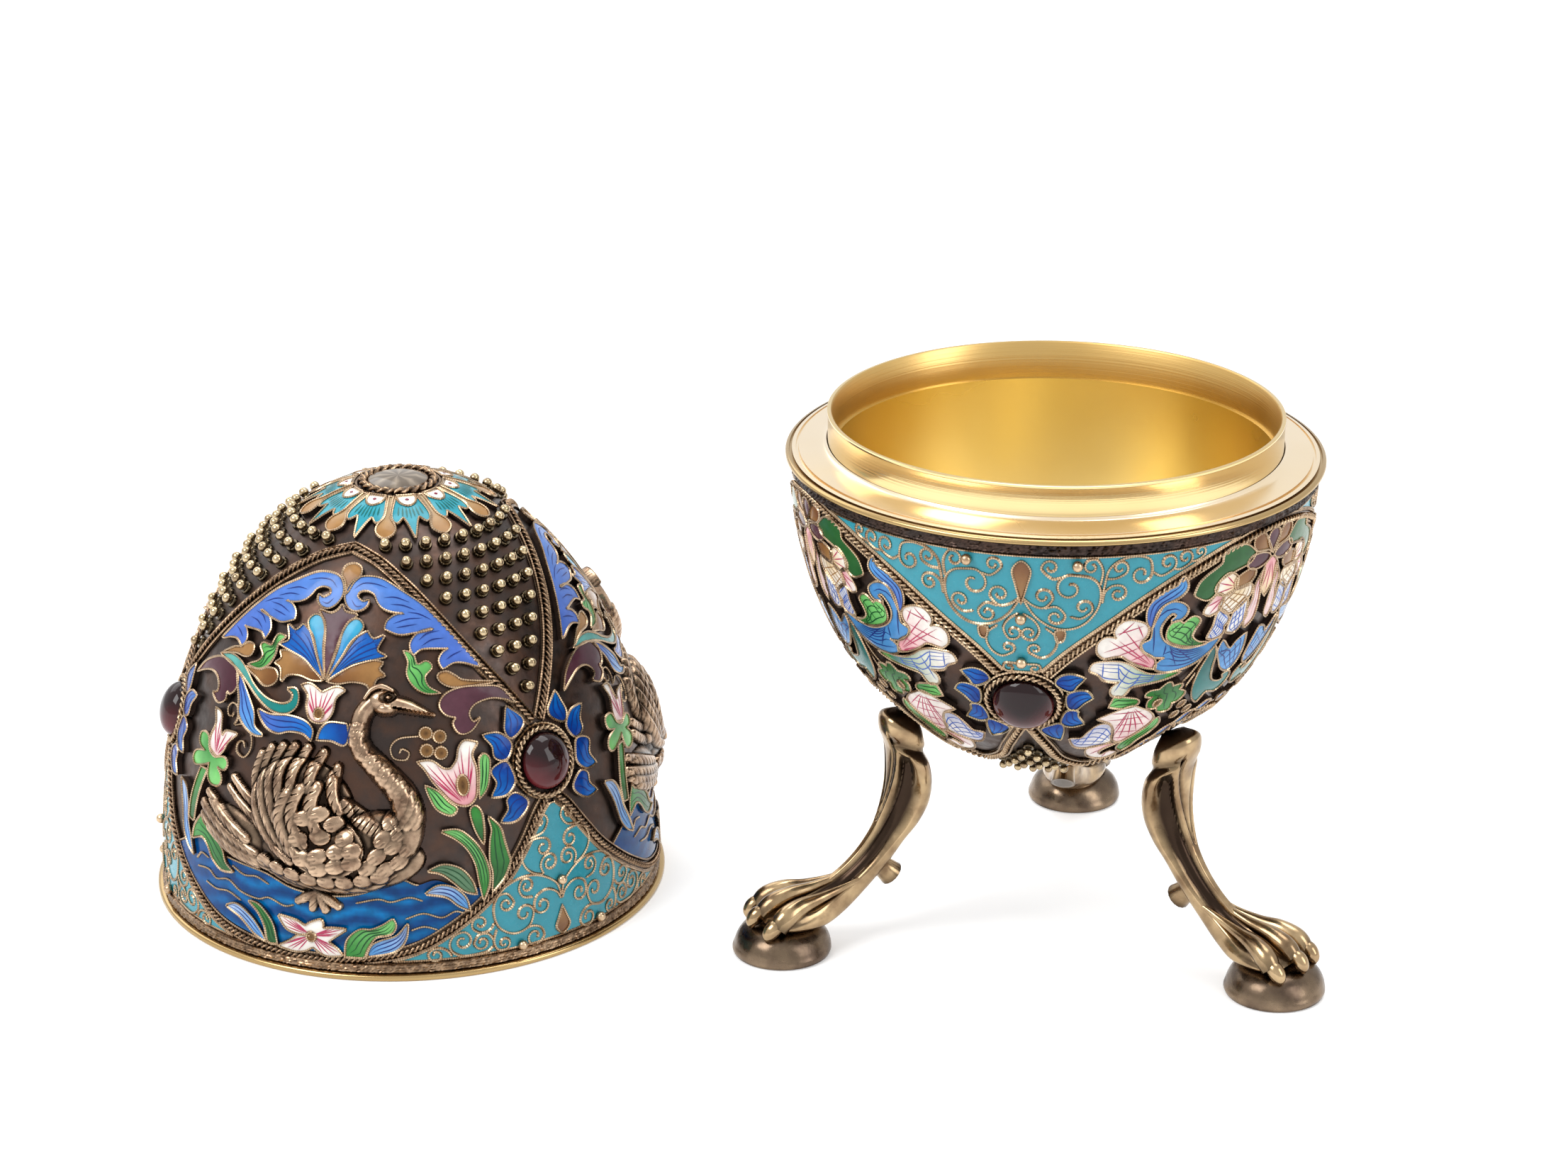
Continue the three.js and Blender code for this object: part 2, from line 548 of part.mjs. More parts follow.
const base = new THREE.Group();
addBowl(base);
addBowlDecoration(base);
addLegs(base);
const lid = new THREE.Group();
addLid(lid);
addLidDecoration(lid);
lid.position.set(-(2 * lipRadius + LID_ASIDE), LID_BACK, 0);
egg.add(base, lid);

// The origin is under the middle of the whole arrangement, on the table
egg.updateMatrixWorld(true);
const middle = new THREE.Box3().setFromObject(egg, true).getCenter(new THREE.Vector3());
egg.position.set(-middle.x, -middle.y, 0);

export default egg;
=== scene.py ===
"""Looks of an enamelled egg box: a footed bowl and, beside it, its domed lid.

Lengths are millimetres until a mesh is made. Ornament is drawn on charts: degrees round a half of the egg,
and millimetres along its surface from the rim.
"""
import math

import bpy
import numpy as np
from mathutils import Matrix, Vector
from mathutils.geometry import delaunay_2d_cdt


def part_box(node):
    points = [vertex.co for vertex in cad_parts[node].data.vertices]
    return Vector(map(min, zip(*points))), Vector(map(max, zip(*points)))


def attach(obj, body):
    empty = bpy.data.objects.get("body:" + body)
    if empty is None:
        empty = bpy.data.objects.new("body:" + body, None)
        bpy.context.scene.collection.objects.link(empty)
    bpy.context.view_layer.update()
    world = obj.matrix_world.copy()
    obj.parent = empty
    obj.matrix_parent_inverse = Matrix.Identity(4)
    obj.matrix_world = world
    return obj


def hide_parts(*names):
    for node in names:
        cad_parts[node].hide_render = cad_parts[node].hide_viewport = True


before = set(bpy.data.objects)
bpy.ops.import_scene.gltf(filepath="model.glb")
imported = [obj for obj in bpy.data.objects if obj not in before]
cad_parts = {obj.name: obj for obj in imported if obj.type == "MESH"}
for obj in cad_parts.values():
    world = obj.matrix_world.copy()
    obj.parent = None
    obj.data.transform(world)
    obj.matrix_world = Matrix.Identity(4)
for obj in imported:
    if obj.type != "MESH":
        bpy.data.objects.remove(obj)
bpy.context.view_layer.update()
MM = 0.001
SECTORS = 3
SECTOR = 120
HALF_SECTOR = SECTOR / 2
BOWL_STONE_TURN = -10.5
BOWL_PANEL_TURN = BOWL_STONE_TURN + HALF_SECTOR
LID_PANEL_TURN = -19
LID_STONE_TURN = LID_PANEL_TURN + HALF_SECTOR
LID_FULLNESS = 2.18
BOWL_FULLNESS = 2.0
SHELL_WALL = 1.0
SHARP_EDGE = math.radians(48)
rng = np.random.default_rng(7)


def extent(node_name):
    """A CAD node's lowest and highest corners, in millimetres."""
    return [np.array(corner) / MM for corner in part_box(node_name)]


def full_turn(count):
    """Even angles all the way round."""
    return 2 * np.pi * np.arange(count) / count


def revolved(out, up, turn):
    """Points at a distance out from the upright axis, turned about it."""
    return np.stack(np.broadcast_arrays(out * np.sin(turn), -out * np.cos(turn), up), axis=-1)


def lengths_along(path):
    """How far along a path each of its points lies."""
    return np.concatenate([[0], np.cumsum(np.linalg.norm(np.diff(path, axis=0), axis=1))])


class Half:
    """One half of the egg, addressed by degrees round it and millimetres along it from its rim."""

    def __init__(self, body, shell, fullness, upward):
        low, high = extent(shell)
        self.body = body
        self.axis = np.array([(low[0] + high[0]) / 2, (low[1] + high[1]) / 2, 0])
        self.radius = (high[0] - low[0]) / 2
        self.height = high[2] - low[2]
        self.rim = low[2] if upward > 0 else high[2]
        self.upward = upward
        self.power = 2 / fullness
        self.latitudes = np.linspace(1e-4, np.pi / 2 - 1e-4, 3000)
        out = self.radius * np.cos(self.latitudes)
        rise = self.height * np.sin(self.latitudes) ** self.power
        self.arcs = lengths_along(np.column_stack([out, rise]))

    def latitude(self, v):
        return np.interp(v, self.arcs, self.latitudes)

    def slope(self, v):
        """How far a surface normal at v leans out, and how far up."""
        angle = self.latitude(v)
        out = self.height * self.power * np.sin(angle) ** (self.power - 1) * np.cos(angle)
        up = self.radius * np.sin(angle)
        length = np.hypot(out, up)
        return out / length, up / length

    def at(self, u, v, lift=0.0):
        """Places on the surface, lifted off it along its normals."""
        angle = self.latitude(v)
        slope_out, slope_up = self.slope(v)
        out = self.radius * np.cos(angle) + lift * slope_out
        up = self.height * np.sin(angle) ** self.power + lift * slope_up + np.minimum(v, 0)
        return revolved(out, self.rim + self.upward * up, np.radians(u))

    def normal(self, u, v):
        slope_out, slope_up = self.slope(v)
        return revolved(slope_out, self.upward * slope_up, np.radians(u))

    def across(self, v):
        """Millimetres for each degree at v."""
        return np.radians(self.radius * np.cos(self.latitude(v)))


LID = Half("lid", "lid_shell", LID_FULLNESS, 1)
BOWL = Half("base", "bowl_shell", BOWL_FULLNESS, -1)


def srgb(red, green, blue):
    """Linear colour from 0 to 255 screen values."""
    value = np.array([red, green, blue]) / 255
    return np.where(value <= 0.04045, value / 12.92, ((value + 0.055) / 1.055) ** 2.4)


PERIWINKLE = srgb(72, 106, 190)
SKY = srgb(92, 158, 220)
PALE_SKY = srgb(160, 190, 232)
STEEL = srgb(62, 126, 182)
COBALT = srgb(8, 58, 146)
BRIGHT_COBALT = srgb(18, 108, 194)
TURQUOISE = srgb(48, 147, 164)
TEAL = srgb(24, 128, 124)
PALE_TEAL = srgb(96, 172, 164)
AQUA = srgb(58, 160, 196)
LEAF = srgb(122, 200, 112)
GREEN = srgb(58, 138, 60)
DARK_GREEN = srgb(42, 94, 48)
GREY_GREEN = srgb(92, 128, 96)
WHITE = srgb(246, 240, 232)
PINK = srgb(230, 164, 170)
BLUSH = srgb(240, 208, 206)
ROSE = srgb(186, 60, 96)
CREAM = srgb(240, 214, 168)
PLUM = srgb(66, 26, 40)
MAUVE_HIGHLIGHT = srgb(89, 54, 65)
# The lighter mauve end of the plum cells is a painted highlight on the glossy plum enamel.
AMBER = srgb(160, 118, 70)
DEEP_AMBER = srgb(118, 74, 36)
WATER = srgb(2, 46, 110)
WATER_LIGHT = srgb(2, 128, 196)
INK = srgb(30, 48, 120)
MOSS = srgb(22, 72, 38)
PLAIN = np.array([1.0, 1.0, 1.0])
WALL_DARK = srgb(52, 40, 34)


class Soup:
    """Triangles and the tint of each corner, gathered for one piece."""

    def __init__(self):
        self.points = []
        self.faces = []
        self.tints = []
        self.size = 0

    def add(self, points, faces, tint):
        points = np.asarray(points, dtype=float).reshape(-1, 3)
        self.points.append(points)
        self.faces.append(np.asarray(faces, dtype=int).reshape(-1, 3) + self.size)
        tint = np.asarray(tint, dtype=float).reshape(-1, 3)
        self.tints.append(np.broadcast_to(tint, points.shape))
        self.size += len(points)


def grid_faces(rows, columns, wrap=False, flip=False):
    """Triangles over a grid of points, whose columns may join up into a ring."""
    i = np.arange(rows - 1)[:, None]
    j = np.arange(columns if wrap else columns - 1)[None, :]
    a = i * columns + j
    b = i * columns + (j + 1) % columns
    c = b + columns
    d = a + columns
    faces = np.stack([np.stack([a, b, c], -1), np.stack([a, c, d], -1)], -2).reshape(-1, 3)
    return faces[:, ::-1] if flip else faces


def extended(run):
    """A run of points with one more past each end."""
    return np.concatenate([[2 * run[0] - run[1]], run, [2 * run[-1] - run[-2]]])


def curved(a, b, c, d, share):
    """A share of the way from b to c, on a smooth curve that heeds a and d."""
    return 0.5 * (2 * b + (c - a) * share + (2 * a - 5 * b + 4 * c - d) * share ** 2
                  + (3 * b - a - 3 * c + d) * share ** 3)


def smoothed(values, count):
    """More values through a few, along a smooth curve."""
    values = np.array(values, dtype=float)
    marks = np.linspace(0, len(values) - 1, count)
    index = np.minimum(marks.astype(int), len(values) - 2)
    share = (marks - index).reshape(-1, *[1] * (values.ndim - 1))
    run = extended(values)
    return curved(*(run[index + k] for k in range(4)), share)


def spline(points, closed=False, per_span=9):
    """A smooth path through points. A third value marks a point as a corner."""
    corners = [i for i, point in enumerate(points) if len(point) > 2]
    path = np.array([point[:2] for point in points], dtype=float)
    if closed and not corners:
        runs = [np.concatenate([path[-1:], path, path[:2]])]
    else:
        if closed:
            path = np.concatenate([np.roll(path, -corners[0], axis=0), path[corners[0]][None]])
            corners = [i - corners[0] for i in corners] + [len(points)]
        ends = sorted({0, len(path) - 1, *corners})
        runs = [extended(path[first:last + 1]) for first, last in zip(ends, ends[1:])]
    share = np.arange(per_span)[:, None] / per_span
    pieces = [curved(*span, share) for run in runs for span in zip(run, run[1:], run[2:], run[3:])]
    if not closed:
        pieces.append(path[-1:])
    return np.concatenate(pieces)


def even(half, path, step, closed=False):
    """The same path in even steps of millimetres."""
    if closed:
        path = np.concatenate([path, path[:1]])
    lengths = lengths_along(half.at(*path.T))
    count = max(4, 2 * round(lengths[-1] / step / 2))
    marks = np.linspace(0, lengths[-1], count + 1)
    result = np.column_stack([np.interp(marks, lengths, values) for values in path.T])
    return result[:-1] if closed else result


def oval(half, u, v, wide, tall, count):
    """A closed outline round a chart point, from its half widths in millimetres."""
    angle = full_turn(count)
    return np.column_stack([u + wide * np.cos(angle) / half.across(v), v + tall * np.sin(angle)])


def sideways(half, path, distance):
    """A path beside another, millimetres to its left."""
    across = half.across(path[:, 1])
    ahead = np.gradient(path, axis=0)
    run = ahead[:, 0] * across
    length = np.hypot(run, ahead[:, 1])
    return np.column_stack([path[:, 0] - distance * ahead[:, 1] / length / across,
                            path[:, 1] + distance * run / length])


def tube(soup, places, normals, radii, tint, closed=False, squash=1.0):
    """A tube through places. radii has a value for each ring and side."""
    if closed:
        ahead = np.roll(places, -1, axis=0) - np.roll(places, 1, axis=0)
    else:
        ahead = np.gradient(places, axis=0)
    side = np.cross(ahead, normals)
    side /= np.linalg.norm(side, axis=1)[:, None]
    sides = radii.shape[1]
    angle = full_turn(sides)
    ring = (side[:, None] * np.cos(angle)[None, :, None]
            + squash * normals[:, None] * np.sin(angle)[None, :, None])
    points = places[:, None] + radii[..., None] * ring
    tints = np.broadcast_to(tint, points.shape)
    if closed:
        points = np.concatenate([points, points[:1]])
        tints = np.concatenate([tints, tints[:1]])
    soup.add(points, grid_faces(len(points), sides, wrap=True, flip=True), tints.reshape(-1, 3))


WIRE = 0.18
WIRE_STEP = 0.17
WIRE_SIDES = 5
ROPE_SIDES = 10
ROPE_STEPS = 7
ROPE_DEPTH = 0.3
TIP = 0.02


def wire(soup, half, path, lift, closed=False, radius=WIRE, step=WIRE_STEP):
    """Fine twisted wire, drawn as a row of small beads, with painted shade in the narrow necks between
    them.
    """
    path = even(half, path, step, closed)
    swollen = np.arange(len(path)) % 2 == 0
    radii = np.repeat((radius * np.where(swollen, 1.12, 0.8))[:, None], WIRE_SIDES, axis=1)
    # painted shade: the narrow necks between the beads are darker
    tint = np.where(swollen, 1.0, 0.42)[:, None, None] * PLAIN
    if not closed:
        radii[[0, -1]] = TIP
    tube(soup, half.at(*path.T, lift), half.normal(*path.T), radii, tint, closed)


def rope(soup, half, path, lift, radius, pitch, closed=False):
    """Two strands twisted together, with painted shade in the grooves between them."""
    path = even(half, path, pitch / ROPE_STEPS, closed)
    turn = 2 * np.pi * np.arange(len(path)) / (2 * ROPE_STEPS)
    lobe = np.cos(2 * (full_turn(ROPE_SIDES)[None, :] - turn[:, None]))
    radii = radius * (1 - ROPE_DEPTH + ROPE_DEPTH * lobe)
    if not closed:
        radii[[0, -1]] = TIP
    # painted shade: dark in the grooves between the strands, full colour on their crests
    tint = (0.52 + 0.48 * lobe)[..., None] * PLAIN
    tube(soup, half.at(*path.T, lift), half.normal(*path.T), radii, tint, closed)


ROPE_RADIUS = 0.46
BORDER_PITCH = 0.82
BORDER_WIRE = 0.2
STRIP_SIDES = 8


def border(half, points):
    """A rope between two fine wires, on a low strip painted dark as the shade under them, mirrored about
    the middle of a chart.
    """
    soup = Soup()
    path = even(half, spline(mirrored(points[::-1], 0) + points[1:]), 0.5)
    for side in (-1, 1):
        beside = sideways(half, path, side * (ROPE_RADIUS + 0.32))
        wire(soup, half, beside, 0.36, radius=BORDER_WIRE, step=BORDER_WIRE)
    rope(soup, half, path, 0.55, ROPE_RADIUS, BORDER_PITCH)
    # painted shade: the strip under the rope and wires is tinted nearly black
    strip = np.full((len(path), STRIP_SIDES), ROPE_RADIUS + 0.5)
    tube(soup, half.at(*path.T, 0.04), half.normal(*path.T), strip, 0.12 * PLAIN, squash=0.3)
    return soup


def mirrored(points, middle):
    """The same points on the other side of a chart's upright line."""
    return [(2 * middle - point[0], *point[1:]) for point in points]


def inside(polygon, points):
    """Whether each point lies in a polygon."""
    result = np.zeros(len(points), dtype=bool)
    x, y = points[:, 0], points[:, 1]
    for (ax, ay), (bx, by) in zip(polygon, np.roll(polygon, -1, axis=0)):
        if ay == by:
            continue
        crossing = (ay > y) != (by > y)
        result ^= crossing & (x < (bx - ax) * (y - ay) / (by - ay) + ax)
    return result


def clearance(polygon, points):
    """How far each point lies from the nearest corner of a polygon."""
    return np.min(np.linalg.norm(points[:, None] - polygon[None], axis=2), axis=1)


def winding(polygon):
    """1 for a polygon that runs anticlockwise, -1 for one that runs clockwise."""
    x, y = polygon.T
    return np.sign(np.sum(x * np.roll(y, -1) - np.roll(x, -1) * y))


def filled(polygon, spacing):
    """Triangles that fill a polygon, with points inside it so that they can follow a curved surface."""
    low, high = polygon.min(axis=0), polygon.max(axis=0)
    columns = np.arange(low[0] + spacing / 2, high[0], spacing)
    rows = np.arange(low[1] + spacing / 2, high[1], spacing * 0.87)
    across, up = np.meshgrid(columns, rows)
    across[1::2] += spacing / 2
    points = np.column_stack([across.ravel(), up.ravel()])
    if len(points):
        points = points[inside(polygon, points)]
    if len(points):
        points = points[clearance(polygon, points) > 0.45 * spacing]
    corners = [tuple(point) for point in np.concatenate([polygon, points])]
    loop = list(range(len(polygon)))
    result = delaunay_2d_cdt(corners, [], [loop], 1, 1e-6, False)
    places, faces = np.array([tuple(point) for point in result[0]]), np.array(result[2])
    return places, faces[inside(polygon, places[faces].mean(axis=1))]


def domed(polygon, points, dome):
    """How far the fired surface of a cell stands above its wall at each point."""
    return dome * (1 - np.exp(-clearance(polygon, points) / 0.5))


CELL_STEP = 0.36
CELL_LIFT = 0.75
CELL_DOME = 0.1
CELL_SPACING = 0.9
WALL_FOOT = -0.05
WIRE_SEAT = 0.06
STROKE = 0.085
STROKE_SEAT = 0.03
STROKE_LIFT = CELL_LIFT + CELL_DOME + STROKE_SEAT
VEIN_POINTS = 28
VEIN_MARGIN = 0.2
SHORTEST_VEIN = 5
HATCH_GAP = 5
DISC_POINTS = 26
BEAD_SIDES = 14


class Panel:
    """Enamel cells and their wires, drawn on one half of the egg."""

    def __init__(self, half, grow=0.0, hatched=False):
        self.half = half
        self.grow = grow
        self.hatched = hatched
        self.enamel = Soup()
        self.metal = Soup()

    def flat(self, path):
        """Chart points as millimetres on a plane, near enough for one cell."""
        scale = self.half.across(path[:, 1].mean())
        return path * (scale, 1), scale

    def cap(self, outline, lift, tint, spacing=CELL_SPACING, dome=0.0):
        plane, scale = self.flat(outline)
        points, faces = filled(plane, spacing)
        if self.half.upward < 0:
            faces = faces[:, ::-1]
        rise = lift + domed(plane, points, dome)
        tints = tint(points, plane) if callable(tint) else tint
        self.enamel.add(self.half.at(*(points / (scale, 1)).T, rise), faces, tints)

    def wall(self, outline, lift):
        points = np.stack([self.half.at(*outline.T, height) for height in (WALL_FOOT, lift)])
        flip = (winding(outline) < 0) != (self.half.upward < 0)
        self.enamel.add(points, grid_faces(2, len(outline), wrap=True, flip=flip), WALL_DARK)

    def enclosed(self, outline, lift, tint, spacing=CELL_SPACING):
        """Domed enamel inside a wall that has a wire along its top."""
        self.cap(outline, lift, tint, spacing, CELL_DOME)
        self.wall(outline, lift)
        wire(self.metal, self.half, outline, lift + WIRE_SEAT, closed=True)

    def grown(self, outline):
        """A closed outline moved outward all round."""
        plane, scale = self.flat(outline)
        ahead = np.roll(plane, -1, axis=0) - np.roll(plane, 1, axis=0)
        ahead /= np.linalg.norm(ahead, axis=1)[:, None]
        outward = np.column_stack([ahead[:, 1], -ahead[:, 0]]) * winding(plane)
        return (plane + self.grow * outward) / (scale, 1)

    def cell(self, points, near, far, veins=0, ink=None, lift=CELL_LIFT):
        """An enamelled cell. Its colour runs from the first point to the farthest one."""
        outline = self.grown(even(self.half, spline(points, closed=True), CELL_STEP, closed=True))
        root = np.array(points[0][:2]) * (self.flat(outline)[1], 1)

        def shaded(places, plane):
            reach = np.linalg.norm(plane - root, axis=1).max()
            share = np.linalg.norm(places - root, axis=1) / reach
            share = np.clip(1.5 * share - 0.25, 0, 1)[:, None]
            return near * (1 - share) + far * share

        self.enclosed(outline, lift, shaded)
        if veins:
            self.veins(outline, root, veins, ink, lift)

    def veins(self, outline, root, count, ink, lift):
        """Painted strokes from a cell's first point. Rose ones fan out, and others follow its two sides."""
        plane, scale = self.flat(outline)
        first = np.argmin(np.linalg.norm(plane - root, axis=1))
        ring = np.roll(plane, -first, axis=0)
        reach = np.linalg.norm(ring - root, axis=1)
        tip = int(np.argmax(reach))
        marks = np.linspace(0.12, 0.92, VEIN_POINTS)
        sides = ring[:tip + 1], np.concatenate([ring[tip:], ring[:1]])[::-1]
        left, right = (smoothed(side, 60)[(marks * 59).astype(int)] for side in sides)
        far = np.flatnonzero(reach > 0.55 * reach.max())
        lines = []
        for k in range(1, count + 1):
            share = k / (count + 1)
            if ink is ROSE:
                lines.append(root + (ring[far[int(share * (len(far) - 1))]] - root) * marks[:, None])
            else:
                lines.append(left * (1 - share) + right * share)
        if self.hatched and count > 3:
            rungs = range(HATCH_GAP, VEIN_POINTS, HATCH_GAP)
            lines += [left[k] + (right[k] - left[k]) * marks[:, None] for k in rungs]
        for line in lines:
            kept = inside(plane, line) & (clearance(plane, line) > VEIN_MARGIN)
            breaks = np.flatnonzero(np.diff(np.concatenate([[0], kept, [0]])))
            runs = sorted(zip(breaks[::2], breaks[1::2]), key=lambda run: run[1] - run[0])
            if runs and runs[-1][1] - runs[-1][0] > SHORTEST_VEIN:
                painted = line[slice(*runs[-1])]
                rise = lift + domed(plane, painted, CELL_DOME) + STROKE_SEAT
                self.stroke(painted / (scale, 1), ink, rise)

    def stroke(self, path, ink, lift, width=STROKE):
        half_width = width * np.sin(np.linspace(0.08, np.pi - 0.08, len(path)))
        edges = np.stack([sideways(self.half, path, side * half_width) for side in (1, -1)], axis=1)
        lift = np.repeat(np.broadcast_to(lift, len(path)), 2)
        points = self.half.at(*edges.reshape(-1, 2).T, lift)
        self.enamel.add(points, grid_faces(len(path), 2, flip=self.half.upward > 0), ink)

    def line(self, points, lift=0.3, radius=WIRE):
        wire(self.metal, self.half, spline(points), lift, radius=radius)

    def disc(self, u, v, radius, lift, tall=1.0):
        """A small amber disc with a dark heart."""

        def shaded(places, plane):
            share = np.clip(clearance(plane, places) / radius, 0, 1)[:, None]
            return AMBER * (1 - share) + 0.25 * DEEP_AMBER * share

        outline = oval(self.half, u, v, radius, tall * radius, DISC_POINTS)
        self.enclosed(outline, lift, shaded, spacing=0.4)

    def bead(self, u, v, radius, base=0.0, lift=0.0):
        """A round granule, on a dark foot if base is set. The foot and the granule's lower half carry
        painted shade, and the granule also a painted reflection of the dark ground.
        """
        angle = np.radians(np.linspace(-48, 90, 9))
        rise = 0.6 + 0.7 * radius if base else 0.74 * radius
        profile = [(radius * math.cos(a), rise + radius * math.sin(a)) for a in angle]
        # painted shade and reflection: darkest at the bottom of the granule and on its foot
        shade = [0.25, 0.4, 0.7, 0.95, 1, 1, 1, 1, 1]
        if base:
            profile = [(base, -0.1), (base, 0.3), (0.88 * base, 0.5), (0.7 * radius, 0.52)] + profile
            shade = [0.1, 0.16, 0.3, 0.1] + shade
        around = full_turn(BEAD_SIDES)
        out = np.array(profile)
        u, v = np.array(u), np.array(v)
        up = self.half.normal(u, v)
        right = np.array([np.cos(np.radians(u)), np.sin(np.radians(u)), 0])
        along = np.cross(up, right)
        ring = np.cos(around)[:, None] * right + np.sin(around)[:, None] * along
        points = self.half.at(u, v, lift) + out[:, :1, None] * ring + out[:, 1:, None] * up
        tint = np.array(shade)[:, None, None] * np.broadcast_to(PLAIN, points.shape)
        self.metal.add(points, grid_faces(len(profile), BEAD_SIDES, wrap=True), tint)

    def bead_rows(self, rows, start, row_gap, gap, radius, base):
        """Rows of granules on feet, each row with one more than the last."""
        for row in range(rows):
            v = start + row_gap * row
            for i in range(row + 1):
                self.bead((i - row / 2) * gap / self.half.across(v), v, radius, base)


# Lid medallion, drawn from its middle
LID_ARCH = [
    (0, 62, 1), (8, 61), (17, 59.3), (27.5, 55.7), (36, 51.3), (44, 46), (51, 40.7), (55.5, 37),
    (59, 33.9)]
LID_CURVE = [(0, 1.6), (21.3, 3), (33.8, 6.7), (44.7, 12), (50.5, 16.3), (55.5, 20.8), (58.4, 22.7)]
ACANTHUS = [
    (-41.6, 43.2, 1), (-37, 46.7), (-32, 50), (-26.2, 53), (-18.7, 55.3), (-12, 56.9), (-6.2, 57.3),
    (-1.2, 56.9), (1.5, 55.7), (2.2, 54.3), (0.9, 53), (-1.6, 52.2), (-4.5, 52.3), (-6.6, 53),
    (-7.2, 53.9, 1), (-5, 53.5), (-2.4, 54.2, 1), (-3.2, 55), (-6.2, 55.2), (-8.9, 54.7), (-10.2, 53.7),
    (-12, 52.8), (-15.3, 52.2), (-19.9, 51.9, 1), (-16.6, 51.6), (-14.1, 50.8), (-13.2, 49.7, 1),
    (-17.8, 48.9), (-22, 49), (-29.1, 49.4, 1), (-24.5, 49), (-22.2, 48.2), (-21.2, 47.2),
    (-22, 45.9, 1), (-25.2, 46.7), (-33.3, 46.4, 1), (-30.8, 45.8), (-29.5, 44.8), (-30.3, 43.6, 1),
    (-33.7, 44.3), (-37, 44.1), (-40.2, 43.4)]
ACANTHUS_STROKES = [
    [(-14, 55.6), (-9, 56.2), (-4, 56.2), (-0.5, 55.2)],
    [(-22, 53.4), (-17, 54.2), (-12.5, 54.2)],
    [(-24, 52.2), (-19.5, 53), (-15, 53.2)],
    [(-26, 51), (-21, 51), (-16, 50.4)],
    [(-24, 50.2), (-20, 50), (-17, 49.8)],
    [(-31, 49), (-27, 48.8), (-24, 47.9)],
    [(-32, 47.9), (-28, 47.8), (-24.5, 47)],
    [(-37, 45.8), (-34, 45.4), (-31.5, 44.8)],
    [(-5, 52.9), (-2.6, 52.8), (-0.6, 53.7)],
    [(-29, 50.6), (-25, 51.6), (-21, 52)]]
PALMETTE = [
    ([(1.4, 42, 1), (-1.8, 45), (-4.9, 47.8), (-9.2, 49.3, 1), (-10.6, 48.4), (-12, 48.2),
      (-14.9, 48.8, 1), (-13, 47.3), (-12.8, 46.5), (-15.6, 45.8, 1), (-12, 45.4), (-5.8, 44.6),
      (-2, 43.3)], BRIGHT_COBALT, (BRIGHT_COBALT + COBALT) / 2, 4, INK),
    ([(1.6, 42.3, 1), (-0.6, 46.5), (-1.3, 49), (-3.2, 50.6), (-5.8, 50.9), (-7.6, 50.1), (-7, 49.2),
      (-4.4, 47.5), (-1.5, 45)], BRIGHT_COBALT, AQUA),
    ([(1.2, 41.9, 1), (-2, 43.1), (-6, 44.3), (-11.5, 45.1), (-14.6, 44.9, 1), (-13.4, 44),
      (-15.3, 43.1, 1), (-12.7, 42.6), (-11.6, 40.8, 1), (-10, 41.9), (-6, 42.2), (-2, 41.8)],
     DEEP_AMBER, AMBER)]
PALMETTE_MIDDLE = [
    (1.9, 42.2, 1), (0.3, 46), (-0.5, 48.5), (-1.8, 50.3), (-4.9, 51.7, 1), (-0.5, 51.4), (2, 52),
    (3.2, 52.9, 1), (4.6, 51.9), (9.3, 51.6, 1), (6, 50.2), (4.4, 48.3), (3.4, 46)]
